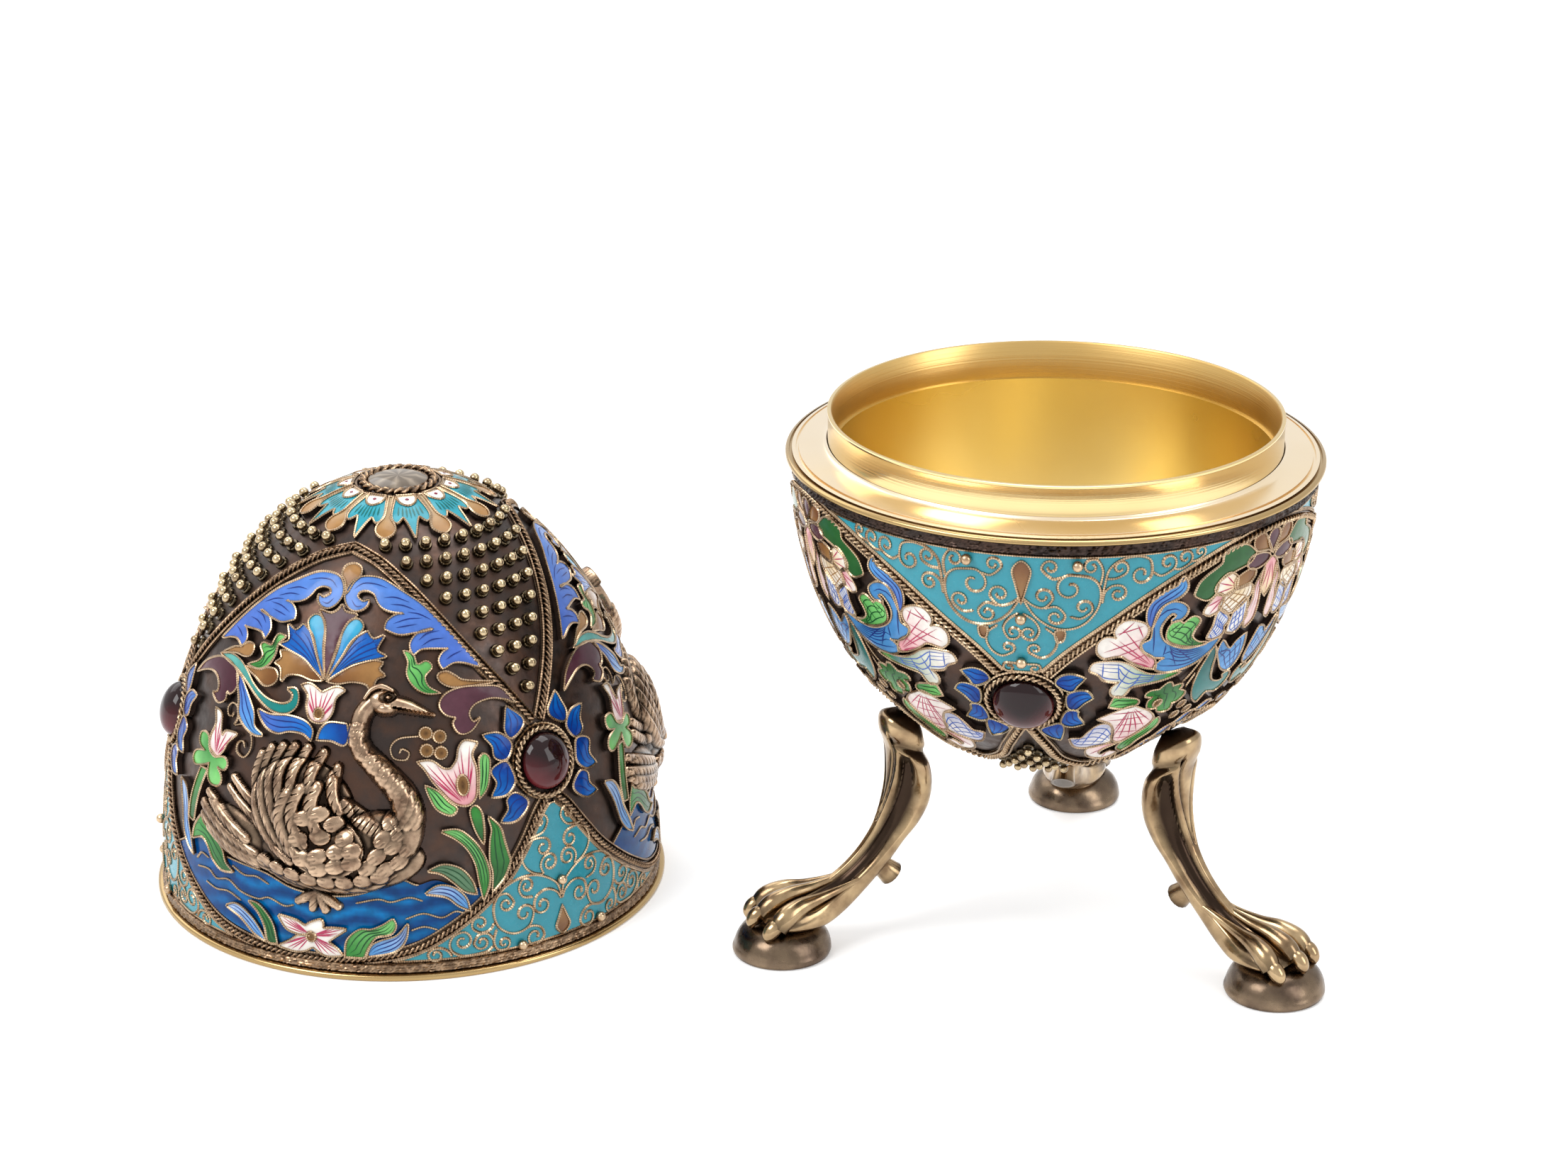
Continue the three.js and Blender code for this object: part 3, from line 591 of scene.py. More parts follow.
LID_CELLS = [
    ([(3.8, 54.6, 1), (2.4, 56.3), (0, 57.4), (0.4, 58.6), (3.8, 59.1), (7.2, 58.6), (7.6, 57.4),
      (5.4, 56.3)], DEEP_AMBER, AMBER),
    ([(-24.9, 41.7, 1), (-20.3, 41.7), (-17.4, 42.7), (-16.2, 44.3), (-16.3, 45.7), (-14.3, 47, 1),
      (-17, 47.1), (-17.9, 46.3), (-18.5, 45.2), (-21.6, 45.3), (-22.4, 44.7), (-20.4, 43.7),
      (-21.2, 42.7)], GREEN, LEAF, 3, MOSS),
    ([(34.3, 40.3, 1), (31.3, 41.3), (30.5, 42.8), (32.8, 44), (31.3, 44.9), (28.6, 44.5), (27.6, 45.9),
      (24.7, 46.6, 1), (26, 45), (25.5, 43.3), (27, 41.7), (30.2, 40.5)], GREEN, LEAF, 3, MOSS),
    ([(-37.8, 41.5, 1), (-33.7, 42.9), (-30.8, 43.4), (-28.3, 44.4), (-25.3, 44.4), (-25, 43.2),
      (-27.4, 42.6), (-32, 42.5)], AMBER, AMBER),
    ([(-25.3, 41.3, 1), (-20.3, 41.4), (-17.8, 42), (-14.5, 42.1), (-13.1, 41.2), (-14.1, 40.2),
      (-17, 39.7), (-21.2, 40.6)], AMBER, DEEP_AMBER),
    ([(-38.7, 41.2, 1), (-33.7, 41.9), (-28.7, 41.7), (-24.5, 40.7), (-20.3, 39.2), (-15.3, 38),
      (-10.3, 37.7), (-7.4, 38.3), (-7, 39.4), (-9, 40, 1), (-6.4, 40.2), (-5.2, 39.2), (-5.5, 37.7),
      (-8.2, 36.6), (-12.8, 36.6), (-17.8, 37.7), (-22.8, 39.2), (-28.7, 40.5), (-34.5, 41)],
     PALE_TEAL, TEAL),
    ([(-28.3, 40, 1), (-25.3, 39.3), (-21.2, 37.4), (-18.3, 35.6), (-17, 33.7), (-13.8, 32.8, 1),
      (-16.6, 32.6), (-20.3, 33.3), (-23.3, 34.7), (-24.5, 36.7), (-26.6, 38.6)],
     PERIWINKLE, SKY, 2, INK),
    ([(0.1, 33.5, 1), (-2.4, 34.3), (-6.2, 34.3), (-9.5, 33.7), (-12.8, 34), (-15.3, 35),
      (-17, 36.2, 1), (-12.8, 35.9), (-7, 36.3), (-2.4, 36), (0.1, 35)],
     BRIGHT_COBALT, PERIWINKLE, 2, INK),
    ([(1.8, 33.7, 1), (2.6, 35.2), (4.7, 36.2), (9.3, 36.2, 1), (9.8, 34.4), (8.8, 33.3), (5.5, 33.8)],
     BRIGHT_COBALT, COBALT),
    ([(-48.7, 36.5, 1), (-45.3, 38.8), (-39.5, 40.5), (-33.7, 40.9), (-29.1, 40.2), (-26.9, 39),
      (-27, 37.7), (-28.7, 36.8), (-30.3, 37, 1), (-29.9, 35.7), (-32.8, 34.9), (-36.2, 35.7, 1),
      (-34.1, 36.2), (-34.5, 37.3), (-37, 38.3), (-40.8, 38.4), (-44.9, 37.6)], MAUVE_HIGHLIGHT, PLUM),
    ([(54.7, 37.2, 1), (51.3, 39.7), (46.3, 40.4), (40.5, 40.7), (35.9, 40.1), (33.8, 38.7),
      (35.1, 37.3), (38, 36.7, 1), (36.9, 35.8), (38.4, 34.4), (41.3, 34.6), (44.3, 36.2, 1),
      (42.2, 35.7), (41.3, 37), (43.4, 38.2), (48, 38.6), (52.2, 38)], PLUM, MAUVE_HIGHLIGHT),
    ([(49.7, 40.7, 1), (42.2, 40.9), (38, 41), (35.1, 41.8), (34.3, 42.8), (36.8, 43.1), (39.3, 42.3),
      (41.3, 41.6)], AMBER, AMBER),
    ([(1.3, 36.1), (-0.8, 36.5), (-2.2, 38), (-2.4, 39.7), (-4.7, 40.9, 1), (-2, 41.2), (1.6, 40.2, 1),
      (5.5, 41.2), (8.2, 40.9, 1), (5.7, 39.7), (5.1, 37.7), (3.4, 36.4)], BLUSH, WHITE, 9, ROSE),
    ([(-28.7, 27.5), (-31.6, 28.3), (-32, 30), (-31, 32), (-32.6, 34, 1), (-29.7, 33.6), (-28.5, 31.6),
      (-27.6, 30.6, 1), (-26.4, 31.6), (-22.1, 31.9, 1), (-24.9, 30.3), (-26.2, 28.7)],
     BLUSH, WHITE, 9, ROSE),
    ([(-31.6, 28.2), (-33.3, 29.8), (-36.3, 29.7), (-36.2, 28.2), (-33.2, 27.5, 1), (-37, 26.8),
      (-38, 25.7), (-36.6, 24.9), (-32.8, 25.6), (-30.6, 26.3, 1), (-30.3, 24.4), (-28.7, 23.5),
      (-25.9, 23.8), (-25.4, 25), (-27.6, 26.3, 1), (-24.9, 26.2), (-23.9, 27.2), (-25.3, 27.9),
      (-28.2, 27.4, 1)], GREEN, LEAF),
    ([(-33.7, 25, 1), (-35.3, 22.3), (-36.3, 19.7), (-36.4, 17, 1), (-34.3, 16.8, 1), (-33.8, 19.7),
      (-32.8, 22.3), (-31.2, 25, 1)], GREEN, DARK_GREEN),
    ([(-33.7, 11.8, 1), (-36.2, 12.7), (-38.7, 14.7), (-40.2, 18), (-42.8, 21.5, 1), (-39.5, 20.8),
      (-37.6, 19), (-36.7, 16.4), (-35.2, 14.3)], SKY, PALE_SKY, 2, INK),
    ([(-19.1, 12, 1), (-22.8, 11.7), (-25.8, 12.7), (-27.8, 14.3), (-30.3, 15.2), (-34.3, 14.2, 1),
      (-33.6, 16.2), (-31.2, 18.3, 1), (-29.9, 17.3), (-26.2, 16.3), (-22.8, 14.7), (-21.6, 13)],
     DARK_GREEN, GREEN, 2, MOSS),
    ([(38, 24.3), (35.1, 25), (32.6, 26.7), (30.5, 28.3), (28.8, 30), (27.2, 31, 1), (30.5, 31),
      (33.2, 29.8), (35.1, 29.6, 1), (36.8, 30.8), (37.6, 32.4), (39.3, 33.3), (42.4, 32.8, 1),
      (40.6, 31.3), (41.2, 29.3), (40.9, 26.7), (40.1, 25)], PINK, WHITE, 11, ROSE),
    ([(34.3, 23.2), (31.3, 24.2), (29.7, 26), (28.8, 27.6, 1), (31.6, 26.6), (34, 24.9), (35.7, 24)],
     LEAF, LEAF, 2, MOSS),
    ([(41.4, 25, 1), (43.4, 26.3), (44.4, 28.3), (44.9, 30.3), (43.8, 31.2, 1), (42.4, 30.4),
      (42.1, 28.5), (41.6, 26.5)], LEAF, LEAF, 2, MOSS),
    ([(41.3, 18.5, 1), (39.7, 20.7), (38.9, 23.3), (40.1, 24), (41.4, 22.9), (41.6, 20.7)],
     DARK_GREEN, GREEN),
    ([(40.5, 10.3, 1), (39.8, 13), (39.2, 15.7), (37.6, 18), (35.1, 19.7), (31.8, 21, 1), (35.6, 20.9),
      (38.5, 19.4), (40.6, 17.4), (41.9, 15), (42, 12.7)], GREEN, LEAF, 3, MOSS),
    ([(42.7, 11.3, 1), (43.1, 14), (42.6, 16), (43, 18.7), (43.6, 20.3), (43, 22.2, 1), (45.5, 20.3),
      (46.3, 18), (47.3, 15.2, 1), (45.5, 13)], DARK_GREEN, GREEN, 2, MOSS),
    ([(38.9, 11.3, 1), (36.3, 12), (33.8, 13.6), (31.3, 14.9), (28.4, 15.4, 1), (31.8, 16.1),
      (35.5, 15.3), (37.9, 13.4)], GREY_GREEN, GREY_GREEN, 2, MOSS),
    ([(37.2, 9, 1), (34.7, 10), (32.2, 11.4), (27.6, 12.1, 1), (30.5, 13.1), (33.8, 12.6), (36.3, 11)],
     SKY, PALE_SKY, 2, INK),
    ([(1.8, 5.2), (-1.3, 4.9), (-3.2, 4), (-6.4, 2.7, 1), (-2.5, 2.4), (0, 2.7), (2, 3.5, 1), (5, 2.4),
      (8.9, 2.6, 1), (7.6, 3.6), (5.6, 4.5, 1), (7, 5.3), (10, 6.7, 1), (7, 6.7), (4.4, 6.5, 1),
      (4.6, 7.2), (4.2, 7.9, 1), (1.8, 7.2), (0.3, 6.5, 1), (-2, 7.2), (-6.3, 7.5, 1), (-4.2, 5.7),
      (-1.6, 5.2, 1)], WHITE, WHITE, 22, ROSE),
    ([(-6.8, 3, 1), (-9.1, 3), (-9.9, 5.3), (-11.6, 7.2), (-14.2, 8.5, 1), (-11.2, 8.2), (-8, 6.1)],
     DARK_GREEN, GREEN, 2, MOSS),
    ([(-9.8, 2.9, 1), (-12.8, 3.7), (-16.6, 5.5), (-21.2, 6.5, 1), (-17.8, 7.3), (-13.7, 6.1),
      (-11.2, 4.4)], SKY, PALE_SKY, 2, INK),
    ([(9.5, 2.5, 1), (10.1, 5), (12.8, 6.7), (15.4, 6.8), (18, 7.5), (20.3, 8.5, 1), (20.8, 7.4),
      (19.6, 6.2), (16.4, 5.7), (14.5, 4), (13.6, 2.5, 1)], GREEN, LEAF, 3, MOSS),
    ([(14.4, 2.7, 1), (15.6, 4.4), (17.8, 5.2), (21, 5.9), (23.5, 7.7, 1), (22.8, 5.3), (20.3, 3.5)],
     SKY, PALE_SKY, 3, INK)]
LID_PETALS = [
    [(53, 36.8, 1), (56.5, 34.9), (56.1, 33.7), (52.8, 32.6), (51.5, 33.7), (52.2, 35.3)],
    [(45.4, 33.6, 1), (49.3, 33.4), (52, 32), (51.6, 30.7), (50, 29.8), (47.6, 30.4), (47.4, 32)],
    [(45.6, 24.9, 1), (47.3, 26.7), (46.3, 28.5), (49.8, 29.3), (51.1, 28), (51.4, 26.3), (49, 24.9)],
    [(47.2, 21.1, 1), (49.3, 22.6), (49.3, 24), (51.3, 24.6), (54, 23.3), (53.4, 22.1), (50.5, 20.9)]]
LID_PETAL_MIDDLE = 61
LID_SPIRALS = [
    [(-25.2, 32.6), (-24.3, 34), (-25.3, 35.4), (-27.4, 35.7), (-28.8, 34.8), (-28, 33.8),
     (-26.6, 33.8), (-26.2, 34.5)],
    [(-24.8, 32.7), (-21.2, 33.3), (-18.3, 32.2), (-17.7, 30.3), (-19.5, 28.9), (-22.2, 29.3),
     (-22.4, 30.5), (-20.6, 31), (-19.6, 30.2)],
    [(28.2, 34.6), (23, 34.4), (20.6, 33.2), (21.3, 31.6), (24.3, 31.3), (25.3, 32.3), (23.5, 32.9),
     (22.6, 32.2)]]
WAVES = [
    [(-33, 11.2), (-31, 12.5), (-28, 12.3)],
    [(-20, 12.8), (-16, 12), (-12.5, 12.3), (-9, 11.6)],
    [(-32.5, 10.2), (-28, 10.6), (-25, 9.8), (-21, 10.4), (-17, 9.3), (-12, 9), (-9, 9.6), (-5, 8.9),
     (-2.5, 9.3)],
    [(-29, 8.6), (-25, 8.2), (-21, 8.6), (-17, 7.9)],
    [(12, 10.6), (17, 11.3), (20, 10.9), (24, 11.5), (27, 10.9)],
    [(23, 8.3), (27, 9), (31, 8.2), (34, 8.9), (36, 8.5)],
    [(24, 6.5), (27, 7), (30, 6.4)]]
WATER_EDGE = [
    (-42.5, 11.6, 1), (-38, 13.2), (-33, 14.8), (-29, 15), (-24, 13.9), (-18, 13.6), (-10, 13.2),
    (-3, 11.8), (4, 11.4), (11, 11.7), (17, 12.9), (20, 14), (23, 14.1), (26, 13.3), (30, 13.8),
    (35, 12.6), (42.5, 11.6, 1), (33.5, 7.5), (21, 4), (0, 2.6), (-21, 4), (-33.5, 7.5)]
ACANTHUS_MIRROR = 2.8
PALMETTE_MIRROR = 2.0
MEDALLION_GROW = 0.1
FLOWER_HEARTS = [(1.5, 37.3, 0.7, 1.15), (37.6, 27.2, 0.85, 1.7), (1.8, 5.1, 0.72, 1)]
BERRIES = [(29.6, 34.9), (33.1, 34.3), (29.6, 32.5), (33.1, 32)]
WATER_LIFT = 0.34


def lid_medallion():
    panel = Panel(LID, MEDALLION_GROW)
    for on_right in (False, True):

        def placed(points, middle):
            return mirrored(points, middle) if on_right else points

        panel.cell(placed(ACANTHUS, ACANTHUS_MIRROR), PERIWINKLE, SKY * 0.3 + PERIWINKLE * 0.7)
        for points in ACANTHUS_STROKES:
            panel.stroke(spline(placed(points, ACANTHUS_MIRROR)), INK, STROKE_LIFT)
        for outline, *paint in PALMETTE:
            panel.cell(placed(outline, PALMETTE_MIRROR), *paint)
    panel.cell(PALMETTE_MIDDLE, MAUVE_HIGHLIGHT, PLUM)
    for outline, *paint in LID_CELLS:
        panel.cell(outline, *paint)
    for u, v, radius, tall in FLOWER_HEARTS:
        panel.disc(u, v, radius, 0.9, tall)
    for u, v in BERRIES:
        panel.disc(u, v, 0.9, 0.6)
    for points in LID_SPIRALS:
        panel.line(points)
    return panel


def lid_water():
    panel = Panel(LID)
    outline = even(LID, spline(WATER_EDGE, closed=True), 0.4, closed=True)

    def ripples_and_painted_glow(places, plane):
        # The wavy streaks are the enamel's own pattern. Their brightening towards the middle is a painted
        # highlight.
        wave = 0.5 + 0.5 * np.sin(places[:, 1] * 2.3 + np.sin(places[:, 0] * 0.55) * 1.6)
        share = (0.12 + 0.8 * wave ** 2 * np.exp(-((places[:, 0] - 4) / 20) ** 2))[:, None]
        return WATER * (1 - share) + WATER_LIGHT * share

    panel.cap(outline, WATER_LIFT, ripples_and_painted_glow, spacing=0.7)
    panel.wall(outline, WATER_LIFT)
    wire(panel.metal, LID, outline[:2 * len(outline) // 5], WATER_LIFT + WIRE_SEAT)
    for points in WAVES:
        panel.line(points, lift=0.42)
    return panel


FILIGREE = 0.22
FILIGREE_LIFT = 0.44
SCROLL_TURNS = 1.15
SPANDREL_EDGE = 1.7
SPANDREL_LIFT = 0.4
LOW_LIFT = 0.5
BEAD_LIFT = 0.35


def scroll(panel, lead, centre):
    """A filigree tendril that follows its lead and winds up round a centre."""
    scale = panel.half.across(centre[1])
    lead = np.array(lead, dtype=float) * (scale, 1)
    middle = np.array(centre) * (scale, 1)
    away = lead[-1] - middle
    heading = lead[-1] - lead[-2]
    side = np.sign(away[0] * heading[1] - away[1] * heading[0])
    share = np.linspace(0, 1, 12)[1:]
    angle = math.atan2(away[1], away[0]) + side * 2 * np.pi * SCROLL_TURNS * share
    reach = np.linalg.norm(away) * (1 - 0.76 * share)
    coil = middle + np.column_stack([reach * np.cos(angle), reach * np.sin(angle)])
    path = np.concatenate([lead, coil]) / (scale, 1)
    panel.line([tuple(point) for point in path], FILIGREE_LIFT, radius=FILIGREE)


def spandrel(half, curve, scrolls, inset, start):
    """A turquoise field beside a curve, edged with wire and filled with mirrored scrolls."""
    panel = Panel(half)
    side = sideways(half, spline(mirrored(curve[::-1], HALF_SECTOR / 2)), -inset)
    side = side[(side[:, 0] > start) & (side[:, 1] > SPANDREL_EDGE)]
    outline = even(half, np.concatenate([side, (side * (-1, 1))[::-1]]), 0.45, closed=True)
    panel.cap(outline, SPANDREL_LIFT, TURQUOISE)
    panel.wall(outline, SPANDREL_LIFT)
    wire(panel.metal, half, outline, SPANDREL_LIFT + 0.02, closed=True, radius=0.17)
    for lead, centre in scrolls:
        scroll(panel, lead, centre)
        scroll(panel, mirrored(lead, 0), *mirrored([centre], 0))
    return panel


LID_SCROLLS = [
    ([(8.1, 17.7), (5.9, 17.7), (3.4, 18.1), (2, 19.3)], (4, 19.7)),
    ([(4.4, 11.8), (6.9, 12.4), (8.8, 13.5), (9.6, 15), (8.7, 16.5), (6.4, 17.3), (3.9, 17.2)],
     (3.9, 15.8)),
    ([(4.3, 11.8), (5, 13.2), (4.1, 14.3), (2.4, 14.6)], (2.6, 13.3)),
    ([(0, 7.8), (0.9, 9.7), (2.6, 10.8), (4.9, 11.7), (7.4, 12.2), (10.2, 12.2), (12.9, 11.8),
      (15.4, 10.8), (17, 9.2), (17.2, 7.3), (16.2, 5.5), (13.9, 4.3), (11.4, 4), (8.8, 4.7), (7.7, 6.1)],
     (9.9, 6.7)),
    ([(7.4, 8.9), (9.9, 9.3), (10.9, 10.5), (10.2, 11.7)], (9, 10.8)),
    ([(16.9, 9.2), (15.9, 10.2), (13.9, 10.3), (12.4, 9)], (14.2, 8.8)),
    ([(0.1, 7.3), (1.1, 8.5), (2.9, 9.3), (4.9, 9.4), (6.8, 8.7), (7.4, 7.3)], (5.2, 7.3)),
    ([(10.7, 4.1), (8.4, 4.5), (6.1, 4), (5.1, 2.8)], (7.5, 2.8)),
    ([(16.7, 5.3), (17.5, 3.5), (16.7, 2.1), (14.8, 1.9)], (15.1, 2.9)),
    ([(17.5, 3.7), (18.7, 4.8), (20.7, 4.9), (22, 3.8)], (20.2, 3.6)),
    ([(17.2, 6.3), (18.2, 5.4), (20.2, 5.1), (22, 5.8)], (20.5, 6.6)),
    ([(17.6, 2.8), (19, 2.1), (21.5, 1.9), (24.5, 1.9), (26.8, 2.7), (27.5, 3.9), (26.6, 5.1),
      (24.5, 5.6)], (24.6, 4.2)),
    ([(27, 2), (27.8, 2.9), (29.3, 3.5), (31.1, 3.5), (32.3, 2.8)], (30.6, 2.5))]
LID_DROP = [(0, 6.3, 1), (-1.1, 4.6), (-1.9, 3.1), (0, 2), (1.9, 3.1), (1.1, 4.6)]
LID_BEADS = [(0, 10.3), (-10.9, 2.1), (10.9, 2.1)]


def lid_spandrel():
    panel = spandrel(LID, LID_CURVE, LID_SCROLLS, inset=1.0, start=0.4)
    panel.cell(LID_DROP, AMBER, DEEP_AMBER, lift=LOW_LIFT)
    for u, v in LID_BEADS:
        panel.bead(u, v, 0.74, lift=BEAD_LIFT)
    return panel


ROSETTE_PETALS = 10
ROSETTE_TURN = -2
PETAL = [
    (-13, 71.8, 1), (-15.2, 68.6), (-14, 67), (-10.4, 66.4), (-6, 67.5, 1), (-3.4, 66.2), (0, 63.4, 1),
    (3.4, 66.2), (6, 67.5, 1), (10.4, 66.4), (14, 67), (15.2, 68.6), (13, 71.8, 1)]
EYE = [(-12, 72.1, 1), (-9.4, 70.8), (-5, 70), (0, 69.7), (5, 70), (9.4, 70.8), (12, 72.1, 1)]
DROP = [
    (-3, 71.9, 1), (-2.2, 69), (-2.6, 67.4), (-6, 66), (-5.8, 64.6), (0, 63.6), (5.8, 64.6), (6, 66),
    (2.6, 67.4), (2.2, 69), (3, 71.9, 1)]
PETAL_LINES = (-10, -6.4, -3, 0, 3, 6.4, 10)
EYE_LINE = [(-2.4, 71), (0, 71.02), (2.4, 71)]


def lid_rosette():
    """Petals round the top, each with a white eye, and amber drops between them."""
    panel = Panel(LID)
    step = 360 / ROSETTE_PETALS

    def turned_to(points, angle):
        return [(angle + point[0], *point[1:]) for point in points]

    for i in range(ROSETTE_PETALS):
        turn = ROSETTE_TURN + i * step
        panel.cell(turned_to(PETAL, turn), TURQUOISE, TURQUOISE, lift=LOW_LIFT)
        for u in PETAL_LINES:
            points = [(u, 67.2 + 0.06 * abs(u)), (u * 0.97, 68.4), (u * 0.92, 69.6)]
            panel.stroke(spline(turned_to(points, turn)), TEAL * 0.6, 0.63, width=0.12)
        panel.cell(turned_to(EYE, turn), WHITE, WHITE, lift=0.66)
        panel.stroke(spline(turned_to(EYE_LINE, turn)), ROSE * 0.4, 0.79, width=0.26)
        panel.cell(turned_to(DROP, turn + step / 2), CREAM * 0.5, AMBER, lift=0.6)
    return panel


# Bowl panel. Borders and crown are drawn from its middle, the rest in degrees from the stone beside it
BOWL_STRETCH = HALF_SECTOR / 61.5
BOWL_ARCH = [(0, 2), (13, 3.2), (23.5, 5.6), (32.5, 8.7), (41, 12.7), (48.5, 16.7), (54.6, 20.8)]
BOWL_WAVE = [(0, 33.4), (8, 34.4), (16, 37.6), (25, 43), (36, 46), (48, 42.6), (53.5, 37.5), (58.4, 32.2)]
BOWL_CELLS = [
    ([(55, 4.7, 1), (52, 3.3), (48.5, 3.1), (46, 3.7), (45.5, 5), (42, 6.2), (40, 7.2), (39, 8.8, 1),
      (42.3, 9.8), (44.3, 9), (45, 7.4), (49, 6.4), (53.5, 5.8)], DARK_GREEN, DARK_GREEN),
    ([(50.3, 9, 1), (48.5, 9.8), (45.5, 9.4), (44.5, 8.2), (47.3, 6.8), (50, 7.6)],
     CREAM, WHITE, 3, ROSE),
    ([(50.6, 9.4, 1), (50.2, 8), (54, 7.2), (56, 8), (54, 9.2)], AMBER, DEEP_AMBER),
    ([(51.5, 9.6, 1), (47.7, 10.2), (46.6, 11.6), (49, 12.8), (51.3, 12.9, 1), (55.3, 11.2), (55.2, 9.6)],
     CREAM, WHITE, 4, AMBER),
    ([(47, 10.2, 1), (45.3, 9.6), (43, 11), (42.4, 12), (44, 12.5, 1), (46.3, 11.9)],
     PINK, WHITE, 2, ROSE),
    ([(48.6, 12.9, 1), (46.5, 12.3), (46, 14.5), (44.9, 16.4, 1), (47.3, 16.7), (49.3, 16.2),
      (48.9, 15.2), (50, 14.2)], PALE_SKY * 0.4 + WHITE * 0.6, WHITE, 5, PERIWINKLE),
    ([(51.5, 13, 1), (54.6, 11.6), (55.4, 13.3), (55.8, 14.8), (53.5, 16.6), (50.6, 16.2, 1), (51, 14.5)],
     PALE_SKY * 0.4 + WHITE * 0.6, WHITE, 4, PERIWINKLE),
    ([(59.2, 8, 1), (57.2, 10), (57.3, 12), (56, 14.3), (56.9, 16.5, 1), (59, 15.5), (59.3, 13.3),
      (58.8, 10.7)], PINK, BLUSH, 2, WHITE),
    ([(29, 13, 1), (28, 11), (28.5, 9.2), (31.5, 7.7), (34.5, 7), (35.5, 5.7, 1), (36.6, 7.3),
      (35, 8.5), (31.4, 9.4), (30, 11)], PERIWINKLE, SKY, 2, INK),
    ([(49, 17, 1), (46.5, 19), (42, 20.6), (36, 21), (32.2, 20), (33, 18.9), (34.4, 18.3), (31, 17.8),
      (28.2, 16.5), (27.7, 15.5), (29.7, 14.8), (29.9, 12.7), (30.6, 10.6), (32.6, 9.5), (35.4, 9.7),
      (37.4, 10.8), (36.5, 12), (33.8, 12.3, 1), (35.3, 11.5), (33.8, 10.9), (32, 11.9), (31.2, 13.5),
      (32.5, 15.4), (36, 16.9), (41, 17.7)], STEEL, SKY * 0.4 + STEEL * 0.6, 7, INK),
    ([(45, 17.2, 1), (41, 17.1), (36.4, 16.2), (33.8, 15), (33.7, 13.3), (35.2, 12.5), (37, 13.2, 1),
      (39.4, 12.3), (41.3, 13.1), (40.4, 14.2), (40, 15.6), (42.2, 16.8)], GREEN, LEAF, 4, MOSS),
    ([(32, 20, 1), (28.4, 19.2), (25, 17.9), (22.8, 17), (19, 17.3, 1), (17.5, 16.3), (17.5, 14.8),
      (19.1, 14), (21.6, 14.3, 1), (21, 12.8), (22.8, 11.6), (25.4, 11.7), (28, 12.6), (28.2, 14),
      (26.9, 15.2), (27.8, 16.8), (30.8, 18.2)], PINK, WHITE, 7, ROSE),
    ([(39.5, 21.6, 1), (36, 22.3), (31, 22.7), (27, 23), (26, 24), (25, 24.9, 1), (22.6, 24.3),
      (22.2, 23), (24, 21.9, 1), (20, 21.3), (18.4, 20.2), (16, 19.4, 1), (17.2, 18.2), (21.8, 18.2),
      (25, 18.9), (28, 20.2), (32, 21.3)], GREEN, WHITE, 5, PERIWINKLE),
    ([(50.4, 17.8, 1), (54, 19.9), (56, 18.7), (58.6, 18, 1), (59.4, 19.6), (60, 21.5), (59.6, 23.2),
      (57.6, 24.2), (54, 23), (51.6, 21), (50.2, 19.4)], STEEL, SKY, 4, INK),
    ([(48.2, 18.4, 1), (49.4, 20), (50, 22.7), (52, 25.2), (55.8, 26.2), (57.8, 25.6), (56.4, 24.9, 1),
      (58.6, 24.9), (60, 26), (59.4, 27.4), (57.4, 28.2), (53, 27.6), (51.5, 29.5, 1), (48.6, 28),
      (46.6, 25.7), (46.2, 22.7), (47.2, 20)], TEAL * 0.45, TEAL * 0.8),
    ([(37.5, 23.4), (39, 24.4, 1), (41.8, 24.3), (41.4, 25.4, 1), (44, 26.3), (43, 27.7), (41, 27.9, 1),
      (41.4, 29.4), (38.2, 29.4), (37.2, 28.3, 1), (34.4, 28.2), (33.5, 26.7), (34.6, 25.8, 1),
      (32.2, 25.4), (32.7, 24.6), (35.4, 24.6, 1)], DARK_GREEN, GREEN, 3, MOSS),
    ([(22.7, 26.8, 1), (23.2, 25.7), (23.5, 24.9, 1), (26, 25.3), (29.4, 25.9), (29.9, 26.9), (26, 27.3)],
     LEAF, GREEN, 2, MOSS),
    ([(28.8, 27.3), (32, 28.2), (35, 29.3), (37.3, 31), (36.3, 33), (33.4, 34.9), (30, 36.3),
      (27.2, 35), (26.2, 32.5), (24.4, 30.7), (20.5, 29.5, 1), (23.4, 28.6), (26, 27.9)],
     WHITE, BLUSH, 7, ROSE),
    ([(26.8, 36, 1), (23, 36.9), (19, 37.3), (15.6, 36.7), (13.5, 34.3, 1), (17, 34.3), (19, 32.5),
      (21.2, 31), (23.8, 31.2), (25.6, 33)], WHITE, PERIWINKLE * 0.5 + WHITE * 0.5, 5, PERIWINKLE),
    ([(29.5, 36.6, 1), (25.5, 38.2), (24.6, 39.6), (26.5, 40.5), (29, 39.3, 1), (32.3, 40.2), (30, 42),
      (25.5, 41.7), (21.5, 40.2), (20.3, 38), (22.7, 37.1)], PINK, WHITE, 3, ROSE),
    ([(34, 39.8, 1), (31.2, 38.3), (31.6, 36.5), (35, 34.3), (37.5, 32.6), (39, 30.9, 1), (40.5, 32.7),
      (39.4, 34.7), (36.6, 36.7), (35.8, 38.3)], GREEN, LEAF, 3, MOSS)]
BOWL_PETALS = [
    [(14.4, 20.9, 1), (11.5, 20.2), (9, 20.6), (8.2, 21.9), (11.6, 23.2), (12.8, 22.2)],
    [(17, 24.7, 1), (15.4, 23.5), (13, 23.4), (11, 24.2), (11.4, 26.4), (13.2, 27), (15, 25.7)],
    [(15.9, 30.4, 1), (14, 28.7), (13.6, 27.5), (11.2, 27.6), (10.2, 30), (12.6, 30.9)],
    [(10.2, 34.4, 1), (10.6, 32), (9.8, 30.5), (7.6, 30.8), (4.8, 31.9), (7, 33.5)]]
